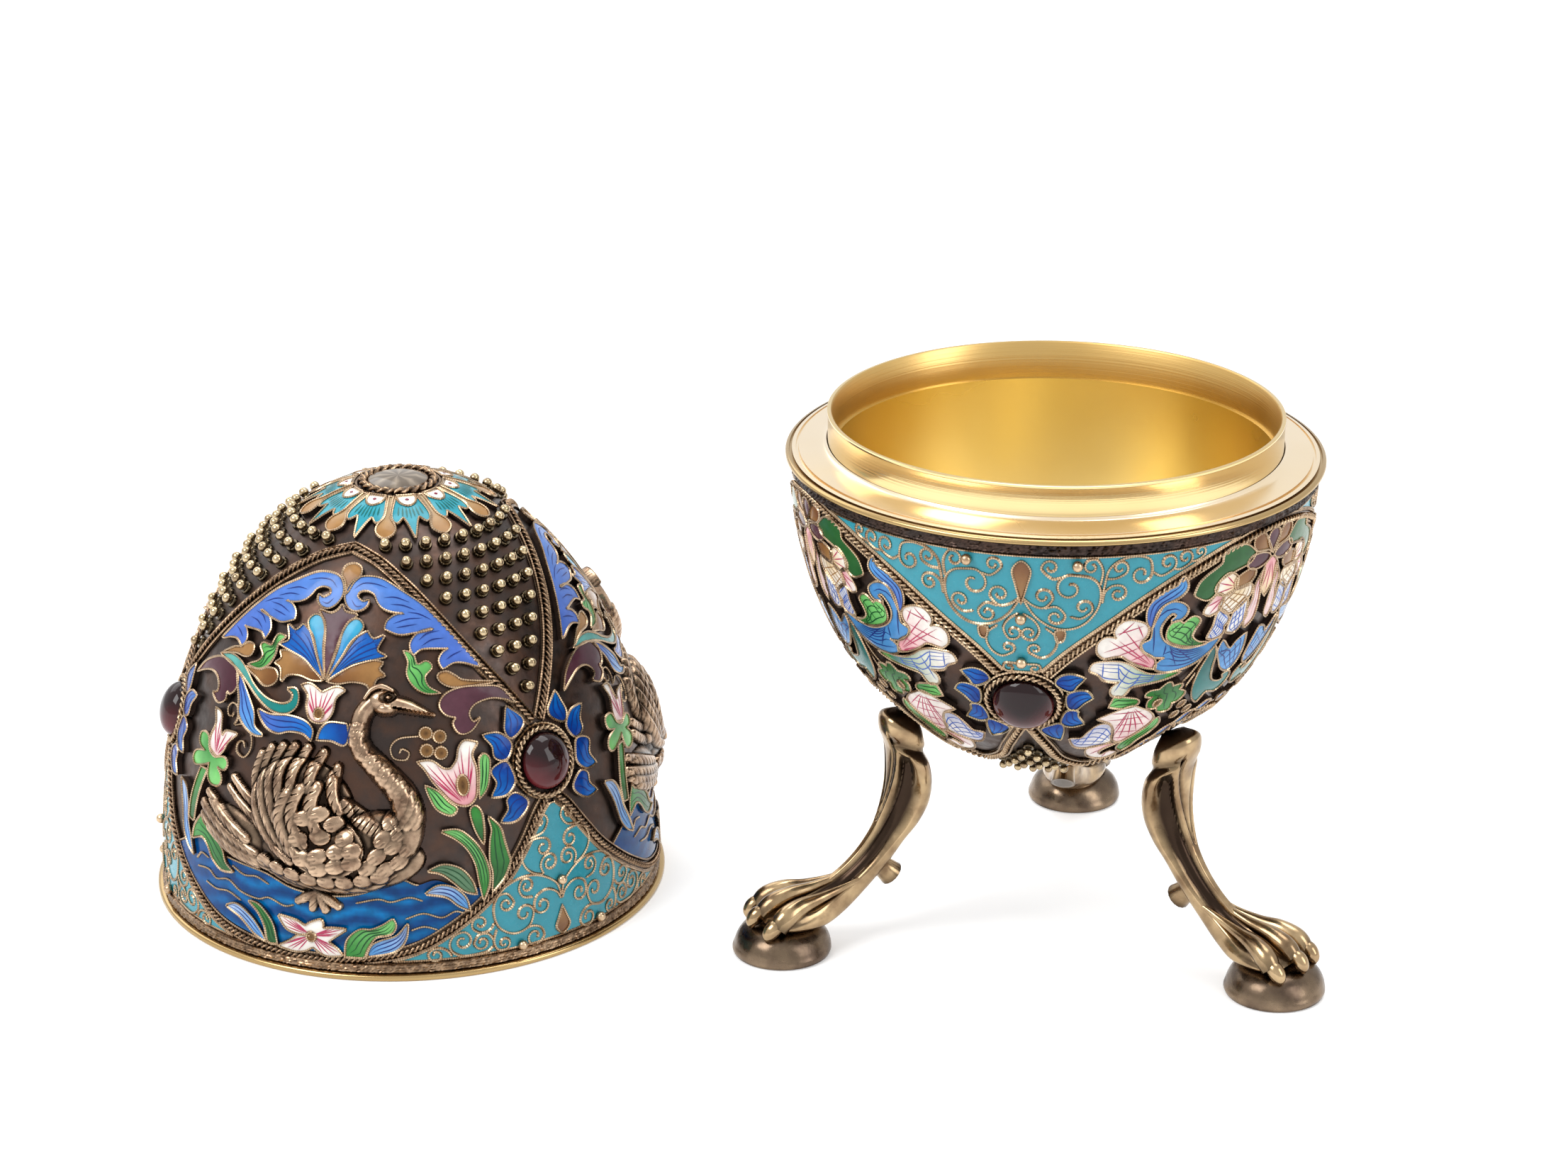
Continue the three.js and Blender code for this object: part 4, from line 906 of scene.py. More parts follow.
BOWL_SCROLLS = [
    ([(0.4, 8.2), (3, 10.7), (6.6, 12.3), (10.3, 12.6), (13.5, 11.8), (15.8, 10), (16.7, 8), (16.3, 6),
      (14.5, 4.8), (11.6, 4.4)], (10.2, 6.3)),
    ([(10.3, 10.6), (12.7, 10.9), (14.8, 10)], (13.2, 9.2)),
    ([(0.3, 7.9), (2.5, 9), (4.8, 9.3), (6.5, 8.2)], (4.6, 7.6)),
    ([(4.8, 9.4), (7.4, 9.1), (9.2, 10.2)], (7.3, 10.7)),
    ([(8.6, 4.7), (6.4, 4.9), (4.3, 3.7)], (6, 3.3)),
    ([(16.5, 6), (16.9, 3.8), (15.8, 2.3)], (14.5, 3.2)),
    ([(17.6, 5), (19.7, 5), (21.7, 4.4)], (20.5, 3.5)),
    ([(17, 8), (17.4, 6), (18.2, 3.7), (20.5, 2.4), (23.9, 2), (26.8, 2.6), (27.5, 4.3)], (25.1, 4.6)),
    ([(17.1, 8.7), (17.5, 7), (19, 6.1), (20.8, 6.1)], (20.3, 7.3)),
    ([(27.4, 4.4), (29.6, 5.2), (32, 4.6)], (31, 3.4)),
    ([(32.2, 4.4), (34, 4.6), (36, 4)], (35, 3)),
    ([(36.2, 3.8), (38, 3.7), (39.4, 3.2)], (38.6, 2.5)),
    ([(0.4, 10.3), (2.7, 11.3), (3.9, 12.8), (3, 14.3)], (1.7, 13.4)),
    ([(5.1, 12.4), (7.4, 13.7), (7.8, 15.3), (6.6, 16.8), (4.5, 17.5), (2.3, 16.9)], (3, 16)),
    ([(0.4, 18.7), (1.7, 18.7), (3.6, 18.7)], (3, 19.5))]
BOWL_GROW = 0.24
BOWL_DISCS = [(36.2, 27.2, 0.62, 1.3), (45, 28.7, 0.7, 1.2), (44.6, 31, 0.7, 1.2), (48.4, 30.3, 0.7, 1.2)]
BOWL_SLIVERS = [(57, 31.4, 0.5), (50.5, 33, 1.2), (45.4, 35.6, 1.6), (41.4, 38.6, 1.8), (38, 41.8, 2)]
BOWL_STEMS = [
    [(48.4, 17.6), (46, 21), (43.6, 23.6), (41.2, 25)],
    [(48.8, 17.6), (47.4, 21), (45, 24.6), (43.4, 28.2)]]
CROWN_LEAF = [(0.4, 5.8), (1.4, 4.9), (5.6, 4.4), (6.6, 2.9), (4, 2.6), (2.2, 4)]
CROWN_PETAL = [(1, 6.2), (3.6, 5.4), (7, 5.4), (8, 6.2), (6.6, 7), (3.6, 7)]
CROWN_TOP = [(0, 5.6, 1), (-1.7, 4), (-1.6, 2.9), (0, 2.5), (1.6, 2.9), (1.7, 4)]
CROWN_HEART = [(0, 6.6), (2.6, 8.2), (2.2, 10.4), (0, 12.2, 1), (-2.2, 10.4), (-2.6, 8.2)]
BOWL_DROP = [(0, 8.8, 1), (-1.2, 6), (-1.9, 3.8), (0, 2.5), (1.9, 3.8), (1.2, 6)]
BOWL_SIDE_DROP = [(7.4, 12.9), (9.4, 12.8), (9.2, 14.4), (7.8, 14.6)]
BOWL_BEADS = [(-11.5, 2.9), (11.5, 2.9), (0, 11), (0, 18.2)]
PETAL_GROW = 0.2


def bowl_panel():
    panel = Panel(BOWL, BOWL_GROW, hatched=True)
    for sign in (-1, 1):

        def placed(points):
            return [(sign * (point[0] * BOWL_STRETCH - HALF_SECTOR), *point[1:]) for point in points]

        for outline, *paint in BOWL_CELLS:
            panel.cell(placed(outline), *paint)
        for u, v, radius, tall in BOWL_DISCS:
            panel.disc(placed([(u, v)])[0][0], v, radius, 0.85, tall)
        for u, v, lean in BOWL_SLIVERS:
            sliver = [(u + 2.4, v - lean, 1), (u, v - 0.7), (u - 2.4, v + lean, 1), (u + 0.4, v + 0.7)]
            panel.cell(placed(sliver), PERIWINKLE, SKY)
        for points in BOWL_STEMS:
            panel.line(placed(points), lift=0.4)
        panel.cell([(sign * u, v) for u, v in CROWN_LEAF], AMBER, DEEP_AMBER)
        panel.cell([(sign * u, v) for u, v in CROWN_PETAL], PLUM, MAUVE_HIGHLIGHT)
    panel.cell(CROWN_TOP, PLUM, MAUVE_HIGHLIGHT)
    panel.cell(CROWN_HEART, PINK, CREAM, 3, ROSE)
    return panel


def bowl_spandrel():
    panel = spandrel(BOWL, BOWL_ARCH, BOWL_SCROLLS, inset=1.05, start=0.3)
    for drop in (BOWL_SIDE_DROP, mirrored(BOWL_SIDE_DROP, 0), BOWL_DROP):
        panel.cell(drop, AMBER, DEEP_AMBER, lift=LOW_LIFT)
    for u, v in BOWL_BEADS:
        panel.bead(u, v, 0.78, lift=BEAD_LIFT)
    return panel


def garnet_field(half, petals, middle):
    """Cobalt petals on both sides of a stone."""
    panel = Panel(half, PETAL_GROW)
    for points in petals:
        for sign in (-1, 1):
            outline = [(sign * (point[0] - middle), *point[1:]) for point in points]
            panel.cell(outline, BRIGHT_COBALT, COBALT, 2, INK)
    return panel


def turned(profile, segments=256):
    """A turned form. Points of the profile run anticlockwise round its section."""
    out, up = np.array(profile, dtype=float).T[:, :, None]
    soup = Soup()
    soup.add(revolved(out, up, full_turn(segments)), grid_faces(len(profile), segments, wrap=True), PLAIN)
    return soup


def material(name):
    result = bpy.data.materials.new(name)
    result.use_nodes = True
    return result, result.node_tree, result.node_tree.nodes["Principled BSDF"]


def node(tree, kind, **inputs):
    """A shader node, with settings, and values or links for its inputs. i0 is the first input."""
    made = tree.nodes.new("ShaderNode" + kind)
    for key, value in inputs.items():
        if hasattr(made, key):
            setattr(made, key, value)
            continue
        socket = made.inputs[int(key[1:])] if key[0] == "i" and key[1:].isdigit() else made.inputs[key]
        if isinstance(value, bpy.types.NodeSocket):
            tree.links.new(value, socket)
        else:
            socket.default_value = value
    return made


def colour4(colour):
    return (*[float(value) for value in colour], 1.0)


def noise(tree, scale, detail, stretch=(1, 1, 1)):
    place = node(tree, "TexCoord").outputs["Object"]
    mapped = node(tree, "Mapping", Vector=place, Scale=stretch)
    return node(tree, "TexNoise", Vector=mapped.outputs[0], Scale=scale, Detail=detail).outputs[0]


def mixed(tree, share, first, second, blend="MIX"):
    made = node(tree, "Mix", data_type="RGBA", blend_type=blend)
    for index, value in ((0, share), (6, first), (7, second)):
        if isinstance(value, bpy.types.NodeSocket):
            tree.links.new(value, made.inputs[index])
        else:
            made.inputs[index].default_value = value
    return made.outputs[2]


def spread(tree, value, low, high, start=0.3, end=0.7):
    made = node(tree, "MapRange")
    tree.links.new(value, made.inputs[0])
    for index, number in ((1, start), (2, end), (3, low), (4, high)):
        made.inputs[index].default_value = number
    return made.outputs[0]


def metal(name, colour, patina, rough, patina_scale, grain, recess):
    """Metal with a mottled patina. The tint of each corner paints shade into its hollows, mixing towards
    the recess colour.
    """
    result, tree, surface = material(name)
    mottle = spread(tree, noise(tree, patina_scale, 6), 0, 1, 0.38, 0.66)
    base = mixed(tree, mottle, colour4(colour), colour4(patina))
    tint = node(tree, "Attribute", attribute_name="tint").outputs["Color"]
    # painted shade: the tint mixes the base towards the recess colour
    shaded = mixed(tree, tint, colour4(recess), base)
    tree.links.new(shaded, surface.inputs["Base Color"])
    rougher = spread(tree, noise(tree, patina_scale * 3.1, 3), rough * 0.75, rough * 1.35)
    tree.links.new(rougher, surface.inputs["Roughness"])
    surface.inputs["Metallic"].default_value = 1.0
    fine = noise(tree, patina_scale * 6, 4)
    bump = node(tree, "Bump", Strength=0.35, Distance=grain, Height=fine)
    tree.links.new(bump.outputs[0], surface.inputs["Normal"])
    return result


def enamel(name, rough, coat, cloudy, shine=0.35):
    """Glassy enamel, coloured by the tint of each corner."""
    result, tree, surface = material(name)
    tint = node(tree, "Attribute", attribute_name="tint").outputs["Color"]
    cloud = spread(tree, noise(tree, 700, 5), 1 - cloudy, 1 + cloudy / 2)
    grey = node(tree, "CombineColor", Red=cloud, Green=cloud, Blue=cloud).outputs[0]
    tree.links.new(mixed(tree, 1.0, tint, grey, "MULTIPLY"), surface.inputs["Base Color"])
    tree.links.new(spread(tree, noise(tree, 1500, 3), rough * 0.7, rough * 1.6),
                   surface.inputs["Roughness"])
    surface.inputs["Coat Weight"].default_value = coat
    surface.inputs["Coat Roughness"].default_value = 0.06
    surface.inputs["Specular IOR Level"].default_value = shine
    bump = node(tree, "Bump", Strength=0.25, Distance=0.00006, Height=noise(tree, 900, 3))
    tree.links.new(bump.outputs[0], surface.inputs["Normal"])
    return result


def gem(name, colour, painted_light, rough=0.05):
    result, tree, surface = material(name)
    tint = node(tree, "Attribute", attribute_name="tint").outputs["Color"]
    # The tint mixes from the stone's own colour towards a colour of painted light.
    tree.links.new(mixed(tree, tint, colour4(colour), colour4(painted_light)), surface.inputs["Base Color"])
    surface.inputs["Roughness"].default_value = rough
    surface.inputs["Specular IOR Level"].default_value = 0.3
    return result


def turned_gilt(name, colour, rough, lines=0.3):
    """Polished gilding with the fine lines of a lathe."""
    result, tree, surface = material(name)
    cloud = spread(tree, noise(tree, 45, 3), 0, 1, 0.25, 0.8)
    worn = colour4(colour * (0.97, 0.92, 0.8))
    tree.links.new(mixed(tree, cloud, colour4(colour), worn), surface.inputs["Base Color"])
    surface.inputs["Metallic"].default_value = 1.0
    tree.links.new(spread(tree, noise(tree, 60, 2), rough * 0.85, rough * 1.2),
                   surface.inputs["Roughness"])
    grooves = noise(tree, 1.0, 2, stretch=(14, 14, 4200))
    bump = node(tree, "Bump", Strength=lines, Distance=0.00003, Height=grooves)
    tree.links.new(bump.outputs[0], surface.inputs["Normal"])
    return result


SILVER = metal("oxidised_silver", srgb(65, 57, 54), srgb(80, 61, 52), 0.36, 260, 0.00006,
               srgb(34, 29, 27))
TRIM = metal("twisted_wire_gilt", srgb(202, 176, 144), srgb(168, 140, 111), 0.28, 800, 0.00002,
             srgb(66, 50, 39))
ROPE = metal("rope_bronze", srgb(184, 154, 124), srgb(130, 104, 82), 0.3, 700, 0.00002, srgb(32, 26, 22))
BEADS = metal("granule_gilt", srgb(196, 176, 140), srgb(144, 124, 98), 0.2, 600, 0.00002,
              srgb(26, 22, 20))
SWAN_METAL = metal("swan_copper_gilt", srgb(192, 164, 137), srgb(130, 105, 86), 0.23, 500, 0.00003,
                   srgb(22, 15, 11))
PAW = metal("paw_brass", srgb(186, 160, 123), srgb(130, 106, 80), 0.2, 260, 0.00003, srgb(46, 35, 29))
PAD = metal("pad_bronze", srgb(142, 122, 100), srgb(100, 84, 71), 0.26, 240, 0.00005, srgb(48, 39, 33))
GILT = turned_gilt("collar_gilt", srgb(224, 200, 150), 0.14)
FLANGE_GILT = turned_gilt("flange_gilt", srgb(242, 226, 201), 0.24)
LINER_GILT = turned_gilt("liner_gilt", srgb(228, 208, 146), 0.3, 0.08)
BRUSHED = turned_gilt("brushed_gilt", srgb(202, 170, 110), 0.36, 0.9)
RIM_GILT = turned_gilt("rim_gilt", srgb(178, 152, 108), 0.22)
OPAQUE = enamel("flower_enamel", 0.16, 0.05, 0.14, 0.2)
SPANDREL = enamel("turquoise_enamel", 0.2, 0.08, 0.06)
CLEAR = enamel("water_enamel", 0.1, 0.03, 0.24, 0.13)
# Each stone's second colour is painted light: the garnet's red glow, the crystal's lit facets.
GARNET = gem("garnet", srgb(30, 10, 13), srgb(104, 36, 42))
CRYSTAL = gem("crystal", srgb(58, 48, 40), srgb(168, 154, 136), 0.08)


def piece(name, half, soups, turn, replaces=()):
    """One object from a soup for each of its materials, turned about its half's axis."""
    points = np.concatenate([part for _, soup in soups for part in soup.points])
    tints = np.concatenate([part for _, soup in soups for part in soup.tints])
    faces = []
    which = []
    start = 0
    for index, (_, soup) in enumerate(soups):
        faces.append(np.concatenate(soup.faces) + start)
        which.append(np.full(len(faces[-1]), index))
        start += soup.size
    faces = np.concatenate(faces)
    angle = math.radians(turn)
    spin = np.array([
        [math.cos(angle), -math.sin(angle), 0], [math.sin(angle), math.cos(angle), 0], [0, 0, 1]])
    points = (points @ spin.T + half.axis) * MM
    mesh = bpy.data.meshes.new(name)
    mesh.vertices.add(len(points))
    mesh.vertices.foreach_set("co", points.ravel())
    mesh.loops.add(faces.size)
    mesh.loops.foreach_set("vertex_index", faces.ravel())
    mesh.polygons.add(len(faces))
    mesh.polygons.foreach_set("loop_start", np.arange(0, faces.size, 3))
    mesh.polygons.foreach_set("material_index", np.concatenate(which))
    mesh.update(calc_edges=True)
    mesh.validate()
    tint = mesh.color_attributes.new("tint", "FLOAT_COLOR", "POINT")
    tint.data.foreach_set("color", np.column_stack([tints, np.ones(len(tints))]).ravel())
    mesh.shade_smooth()
    mesh.set_sharp_from_angle(angle=SHARP_EDGE)
    for finish, _ in soups:
        mesh.materials.append(finish)
    made = bpy.data.objects.new(name, mesh)
    bpy.context.scene.collection.objects.link(made)
    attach(made, half.body)
    if replaces:
        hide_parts(*replaces)


def pieces_round(name, half, soups, turn, node_name=None):
    """The same piece in every sector."""
    for i in range(SECTORS):
        replaced = [f"{node_name}_{i + 1}"] if node_name else []
        piece(f"{name}_{i + 1}", half, soups, turn + i * SECTOR, replaced)


STONE_SIDES = 40
STONE_RINGS = 14
BEZEL_POINTS = 120


def stones(half, name, turn, v, wide, tall, rise):
    """Cabochons in twisted bezels."""
    middle = np.array(0.0), np.array(v)
    up = half.normal(*middle)
    right = np.array([1.0, 0, 0])
    along = np.cross(up, right)
    angle = full_turn(STONE_SIDES)
    ring = wide * np.cos(angle)[:, None] * right + tall * np.sin(angle)[:, None] * along
    climb = np.linspace(0, np.pi / 2, STONE_RINGS)[:, None, None]
    points = half.at(*middle) + np.cos(climb) * ring + (0.5 + rise * np.sin(climb)) * up
    # painted light: a glow on the lower side of the cabochon, strongest at its foot
    painted_light = np.clip(0.5 - 0.9 * np.sin(angle), 0, 1)[None, :, None] * np.cos(climb) ** 1.2
    gemstone = Soup()
    gemstone.add(points, grid_faces(STONE_RINGS, STONE_SIDES, wrap=True),
                 np.broadcast_to(painted_light, points.shape))
    pieces_round(f"{name}_stone", half, [(GARNET, gemstone)], turn, f"{name}_garnet")

    def ring_outside(reach):
        return oval(half, 0, v, wide + reach, tall + reach, BEZEL_POINTS)

    setting = Soup()
    rope(setting, half, ring_outside(0.66), 0.75, ROPE_RADIUS, 0.9, closed=True)
    wire(setting, half, ring_outside(1.3), 0.35, closed=True, radius=0.22, step=0.26)
    # painted shade: the two walls round the stone are tinted dark
    for reach, top, shade in ((0.12, 1.0, 0.4), (1.1, 0.5, 0.15)):
        walls = np.stack([half.at(*ring_outside(reach).T, height) for height in (-0.2, top)])
        setting.add(walls, grid_faces(2, BEZEL_POINTS, wrap=True, flip=half.upward < 0), shade * PLAIN)
    pieces_round(f"{name}_setting", half, [(TRIM, setting)], turn, f"{name}_bezel")


# Swan in relief, drawn on the lid medallion's chart
TAIL_FEATHERS = [
    [(-29.6, 21.9), (-26, 20.8), (-21, 19.2), (-15, 17.6)],
    [(-31, 20.2), (-25, 18.6), (-18.7, 17), (-12, 15.8)],
    [(-30, 18.6), (-24, 16.9), (-18, 15.6), (-10, 14.8)],
    [(-27.4, 16.9), (-20, 15.1), (-12, 14.3)]]
BACK_FEATHERS = [[(-21.4, 25.6), (-17, 23.8), (-11.4, 22)], [(-22.3, 24), (-17.4, 22), (-11, 20)]]
WING_FEATHERS = [
    [(-13.6, 30.2), (-14.6, 27.4), (-13.8, 24.6), (-11.4, 21.6), (-7.6, 18.6), (-2, 16.4)],
    [(-11, 31.4), (-12.2, 28.6), (-11.4, 25.4), (-8.8, 21.8), (-5.4, 19), (0, 17)],
    [(-7.8, 32), (-9.4, 29.4), (-9, 26.2), (-6.6, 22.4), (-3, 19.4)],
    [(-4.4, 32.3), (-6.4, 29.8), (-6.4, 26.6), (-4.4, 23)],
    [(-0.7, 32.4), (-2.8, 29.8), (-3.2, 27), (-2, 24.4)],
    [(3.6, 32), (1.8, 29.8), (1.4, 27.4), (2.2, 25)],
    [(7.4, 30), (6.8, 28), (7.4, 25.8), (8.8, 24)]]
COVERTS = [
    [(-3.4, 26), (-5, 23.4), (-4.2, 20.8), (-1.4, 18.2), (3.6, 16.4)],
    [(-0.2, 26.8), (-1.9, 24.4), (-1.6, 21.8), (1, 19.2)],
    [(3.6, 27.4), (2.4, 25.4), (2.8, 23), (4, 21.4)]]
FAR_WING = [(9.8, 25), (14, 23), (18.6, 21.2)]
SHOULDER_SCALES = [
    (1.5, 23), (4.9, 23.8), (8.2, 22.5), (0.3, 20), (10.6, 20.8), (9.1, 18.9), (12.4, 19.2),
    (1.5, 17.4), (4.9, 18), (8.9, 16.8), (12.4, 17.5), (5.2, 16.2)]
BREAST_SCALES = [
    (17.6, 18.4), (21.2, 19.8), (22.2, 17.4), (24.4, 19.2), (19, 20.8), (22.6, 21.6), (15.6, 16.8),
    (19.4, 16.4), (24.6, 21.8), (20.8, 23.2), (23.4, 23.8), (25, 24.6)]
BELLY_SCALES = [
    (-9, 15.5), (-5.4, 14.9), (-1.6, 14.5), (2.4, 14.2), (6.4, 14.1), (10.4, 14.2), (14.4, 14.6),
    (18, 15.2)]
NECK = [
    (17.6, 17.6), (22.4, 19.6), (24.5, 22.6), (24.2, 25), (22.2, 27.3), (18, 30), (13.6, 32.7),
    (12.5, 35), (13.6, 37.8), (16.6, 39.7)]
NECK_WIDTHS = [3.4, 3.0, 2.5, 2.2, 2.0, 1.85, 1.7, 1.5, 1.5, 1.6]
BEAK = [(19.4, 39.3), (25, 38.8), (31.9, 37.3)]
BROW = [(14.4, 39.9), (16, 41), (18.6, 41.5), (21.6, 40.9)]
BELLY = [(-10.4, 14.4), (-2, 13), (8, 12.7), (16, 13.4), (21, 15.4)]
ANKLE = (3.2, 12)
TOE_TIPS = [(-1.2, 10.2), (2.2, 9.4), (5.2, 9.3), (8.2, 10)]


def blurred(values, passes):
    for _ in range(passes):
        for axis in (0, 1):
            values = (np.roll(values, 1, axis) + 2 * values + np.roll(values, -1, axis)) / 4
    return values


class Relief:
    """A height field on the lid medallion's chart."""

    def __init__(self):
        self.u, self.v = np.meshgrid(np.arange(-34, 34.5, 0.22), np.arange(7.6, 43.8, 0.14))
        self.x = self.u * LID.across(self.v)
        self.height = np.zeros(self.u.shape)
        self.ground = np.zeros(self.u.shape)

    def seen_from(self, u, v, wide, tall, lean):
        """Every point's place along and across an oval, as shares of its half widths."""
        dx, dy = self.x - u * LID.across(v), self.v - v
        return ((math.cos(lean) * dx + math.sin(lean) * dy) / wide,
                (math.cos(lean) * dy - math.sin(lean) * dx) / tall)

    def mound(self, u, v, wide, tall, rise, lean=0.0):
        ahead, beside = self.seen_from(u, v, wide, tall, lean)
        return rise * np.sqrt(np.clip(1 - (ahead ** 2 + beside ** 2), 0, 1))

    def raise_to(self, height, carried=0.0):
        """Lay a form over what is there, on some share of the body under it."""
        self.height = np.where(height > 0, np.maximum(self.height, height + carried * self.ground),
                               self.height)

    def scale(self, u, v, wide, tall, base, rise, carried, lean):
        """A feather scale: a low mound, highest near its tip, with two short cuts."""
        height = self.mound(u, v, wide, tall, 1.0, lean)
        ahead, beside = self.seen_from(u, v, wide, tall, lean)
        cuts = np.exp(-((np.abs(beside) - 0.34) / 0.1) ** 2) * (ahead < -0.1)
        raised = base + rise * (height ** 0.6 - 0.25 * ahead) - 0.1 * cuts
        self.raise_to(np.where(height > 0.12, raised, 0), carried)

    def ribbon(self, points, widths, base, rise, carried=0.0, cut=0.0, pitch=1.9, slant=1.5, tilt=0.0):
        """A raised band along a path, cut by slanting strokes. A tilted one is higher on its left."""
        path = spline(points, per_span=5)
        path = np.column_stack([path[:, 0] * LID.across(path[:, 1]), path[:, 1]])
        marks = lengths_along(path)
        nearest = np.full(self.x.shape, np.inf)
        along = np.zeros(self.x.shape)
        offset = np.zeros(self.x.shape)
        for a, b, mark in zip(path, path[1:], marks):
            step = (b - a) / np.hypot(*(b - a))
            dx, dy = self.x - a[0], self.v - a[1]
            ahead = np.clip(dx * step[0] + dy * step[1], 0, np.hypot(*(b - a)))
            distance = np.hypot(dx - ahead * step[0], dy - ahead * step[1])
            closer = distance < nearest
            nearest = np.where(closer, distance, nearest)
            along = np.where(closer, mark + ahead, along)
            offset = np.where(closer, step[0] * dy - step[1] * dx, offset)
        half = np.interp(along, np.linspace(0, marks[-1], len(widths)), widths)
        share = np.clip(nearest / half, 0, 1)
        height = base + rise * np.sqrt(1 - share ** 2)
        lean = offset / half
        phase = (along + slant * offset) / pitch % 1 - 0.5
        barbs = np.exp(-(phase / 0.09) ** 2) * (1 - share ** 4)
        if tilt:
            barbs = barbs * np.clip(0.7 - lean, 0, 1)
        height = height - cut * barbs + tilt * lean
        self.raise_to(np.where(share < 1, np.maximum(height, 0.05), 0), carried)


def swan_plumage(swan):
    """Small overlapping feathers up the neck."""
    plumage = np.zeros(swan.u.shape)
    for k, (u, v) in enumerate(spline(NECK, per_span=6)[12:46:2]):
        reach = 1.9 - 0.05 * k
        for shift in (-0.9, -0.3, 0.3, 0.9) if k % 2 else (-0.6, 0, 0.6):
            place = u + shift * reach / LID.across(v)
            feather = swan.mound(place, v, 0.95 - 0.02 * k, 0.62 - 0.012 * k, 1.0, 1.0)
            plumage = np.maximum(plumage, feather)
    return plumage


def swan_head(swan):
    """Skull, beak with its slit, brow and eye."""
    swan.raise_to(swan.mound(18.4, 39.7, 2.5, 2.1, 3.1, -0.2))
    swan.raise_to(swan.mound(19.6, 38.5, 1.9, 1.2, 3.2, -0.1))
    swan.ribbon(BEAK, [1.5, 1.05, 0.4], 0.1, 2.5)
    slit = np.abs(swan.v - (38.75 - 0.125 * (swan.u - 21))) < 0.12
    swan.height = np.where(slit & (swan.u > 21.5) & (swan.u < 31.4), swan.height - 0.4, swan.height)
    swan.ribbon(BROW, [0.3, 0.45, 0.45, 0.3], 2.2, 0.75)
    socket = swan.mound(20.2, 40, 1.15, 0.8, 1.0)
    swan.height = np.where(socket > 0, swan.height - 0.75 * socket, swan.height)
    swan.raise_to(swan.mound(20.3, 40, 0.62, 0.52, 3.0))


def swan_soup():
    swan = Relief()
    swan.ground = np.maximum.reduce([
        swan.mound(8, 17, 12.4, 4.9, 2.6), swan.mound(-1, 22.6, 8, 8.4, 2.3, 0.3),
        swan.mound(15, 18.4, 7.4, 5.4, 3.0, 0.5), swan.mound(-18, 17.6, 8.6, 3.4, 1.2, -0.25)])
    swan.height = swan.ground.copy()
    for feathers, widths, base, rise, carried, cut, tilt in (
            (TAIL_FEATHERS, [0.85, 1.05, 1.05, 0.9], 0.2, 0.8, 0.7, 0.24, 0.2),
            (BACK_FEATHERS, [0.75, 0.9, 0.85], 0.2, 0.8, 0.6, 0.24, 0.2),
            (WING_FEATHERS, [0.85, 0.98, 0.96, 0.9, 0.8], 0.2, 0.95, 0.9, 0.28, 0.22),
            (COVERTS, [0.9, 1.1, 1.1, 1.0], 0.45, 0.85, 1.0, 0.28, 0.22)):
        for points in feathers:
            swan.ribbon(points, widths, base, rise, carried, cut, pitch=1.3, slant=1.2, tilt=tilt)
    swan.ribbon(FAR_WING, [1.0, 1.35, 1.1], 0.3, 0.8, 0.7, 0.28, pitch=0.75, slant=0.0)
    swan.ribbon(BELLY, [0.6, 1.0, 1.05, 1.0, 0.6], 0.2, 0.7, 0.6, 0.12, pitch=2.4)
    for u, v in BELLY_SCALES:
        swan.scale(u, v, 1.3, 1.15, 0.5, 0.55, 0.9, -0.25)
    swan.raise_to(np.where(swan.mound(6.4, 19, 5.2, 4.2, 1.0) > 0, 0.62, 0), 1.0)
    for u, v in SHOULDER_SCALES:
        swan.scale(u, v, 1.4, 1.15, 0.85, 0.55, 1.0, 0.35)
    boss = swan.mound(5.1, 20.6, 1.5, 1.2, 0.6)
    swan.raise_to(np.where(boss > 0, 0.8 + boss, 0), 1.0)
    swan.ribbon(NECK, NECK_WIDTHS, 0.1, 2.6)
    for u, v in BREAST_SCALES:
        swan.scale(u, v, 1.45, 1.15, 0.25, 0.55, 1.0, 0.75)
    swan.height = np.where(swan.height > 0.8, swan.height + 0.3 * swan_plumage(swan) ** 0.7, swan.height)
    swan_head(swan)
    for tip in TOE_TIPS:
        toe = [ANKLE, (0.5 * (ANKLE[0] + tip[0]), 11), tip]
        swan.ribbon(toe, [0.7, 0.9, 0.75], 0.1, 1.2, 0.2, 0.1, pitch=0.8)
    relief = swan.height
    # painted shade in the creases and hollows of the relief, and painted light on its ridges and higher
    # parts
    hollow = 3.2 * (relief - blurred(relief, 8)) + 0.6 * (relief - blurred(relief, 90))
    tint = np.clip(0.36 + 1.1 * hollow + 0.04 * relief, 0.03, 1)
    faces = grid_faces(*relief.shape)
    faces = faces[(relief.ravel() > 0.02)[faces].any(axis=1)]
    used, faces = np.unique(faces, return_inverse=True)
    soup = Soup()
    points = LID.at(swan.u, swan.v, relief).reshape(-1, 3)
    soup.add(points[used], faces.reshape(-1, 3), tint.ravel()[used, None] * PLAIN)
    return soup


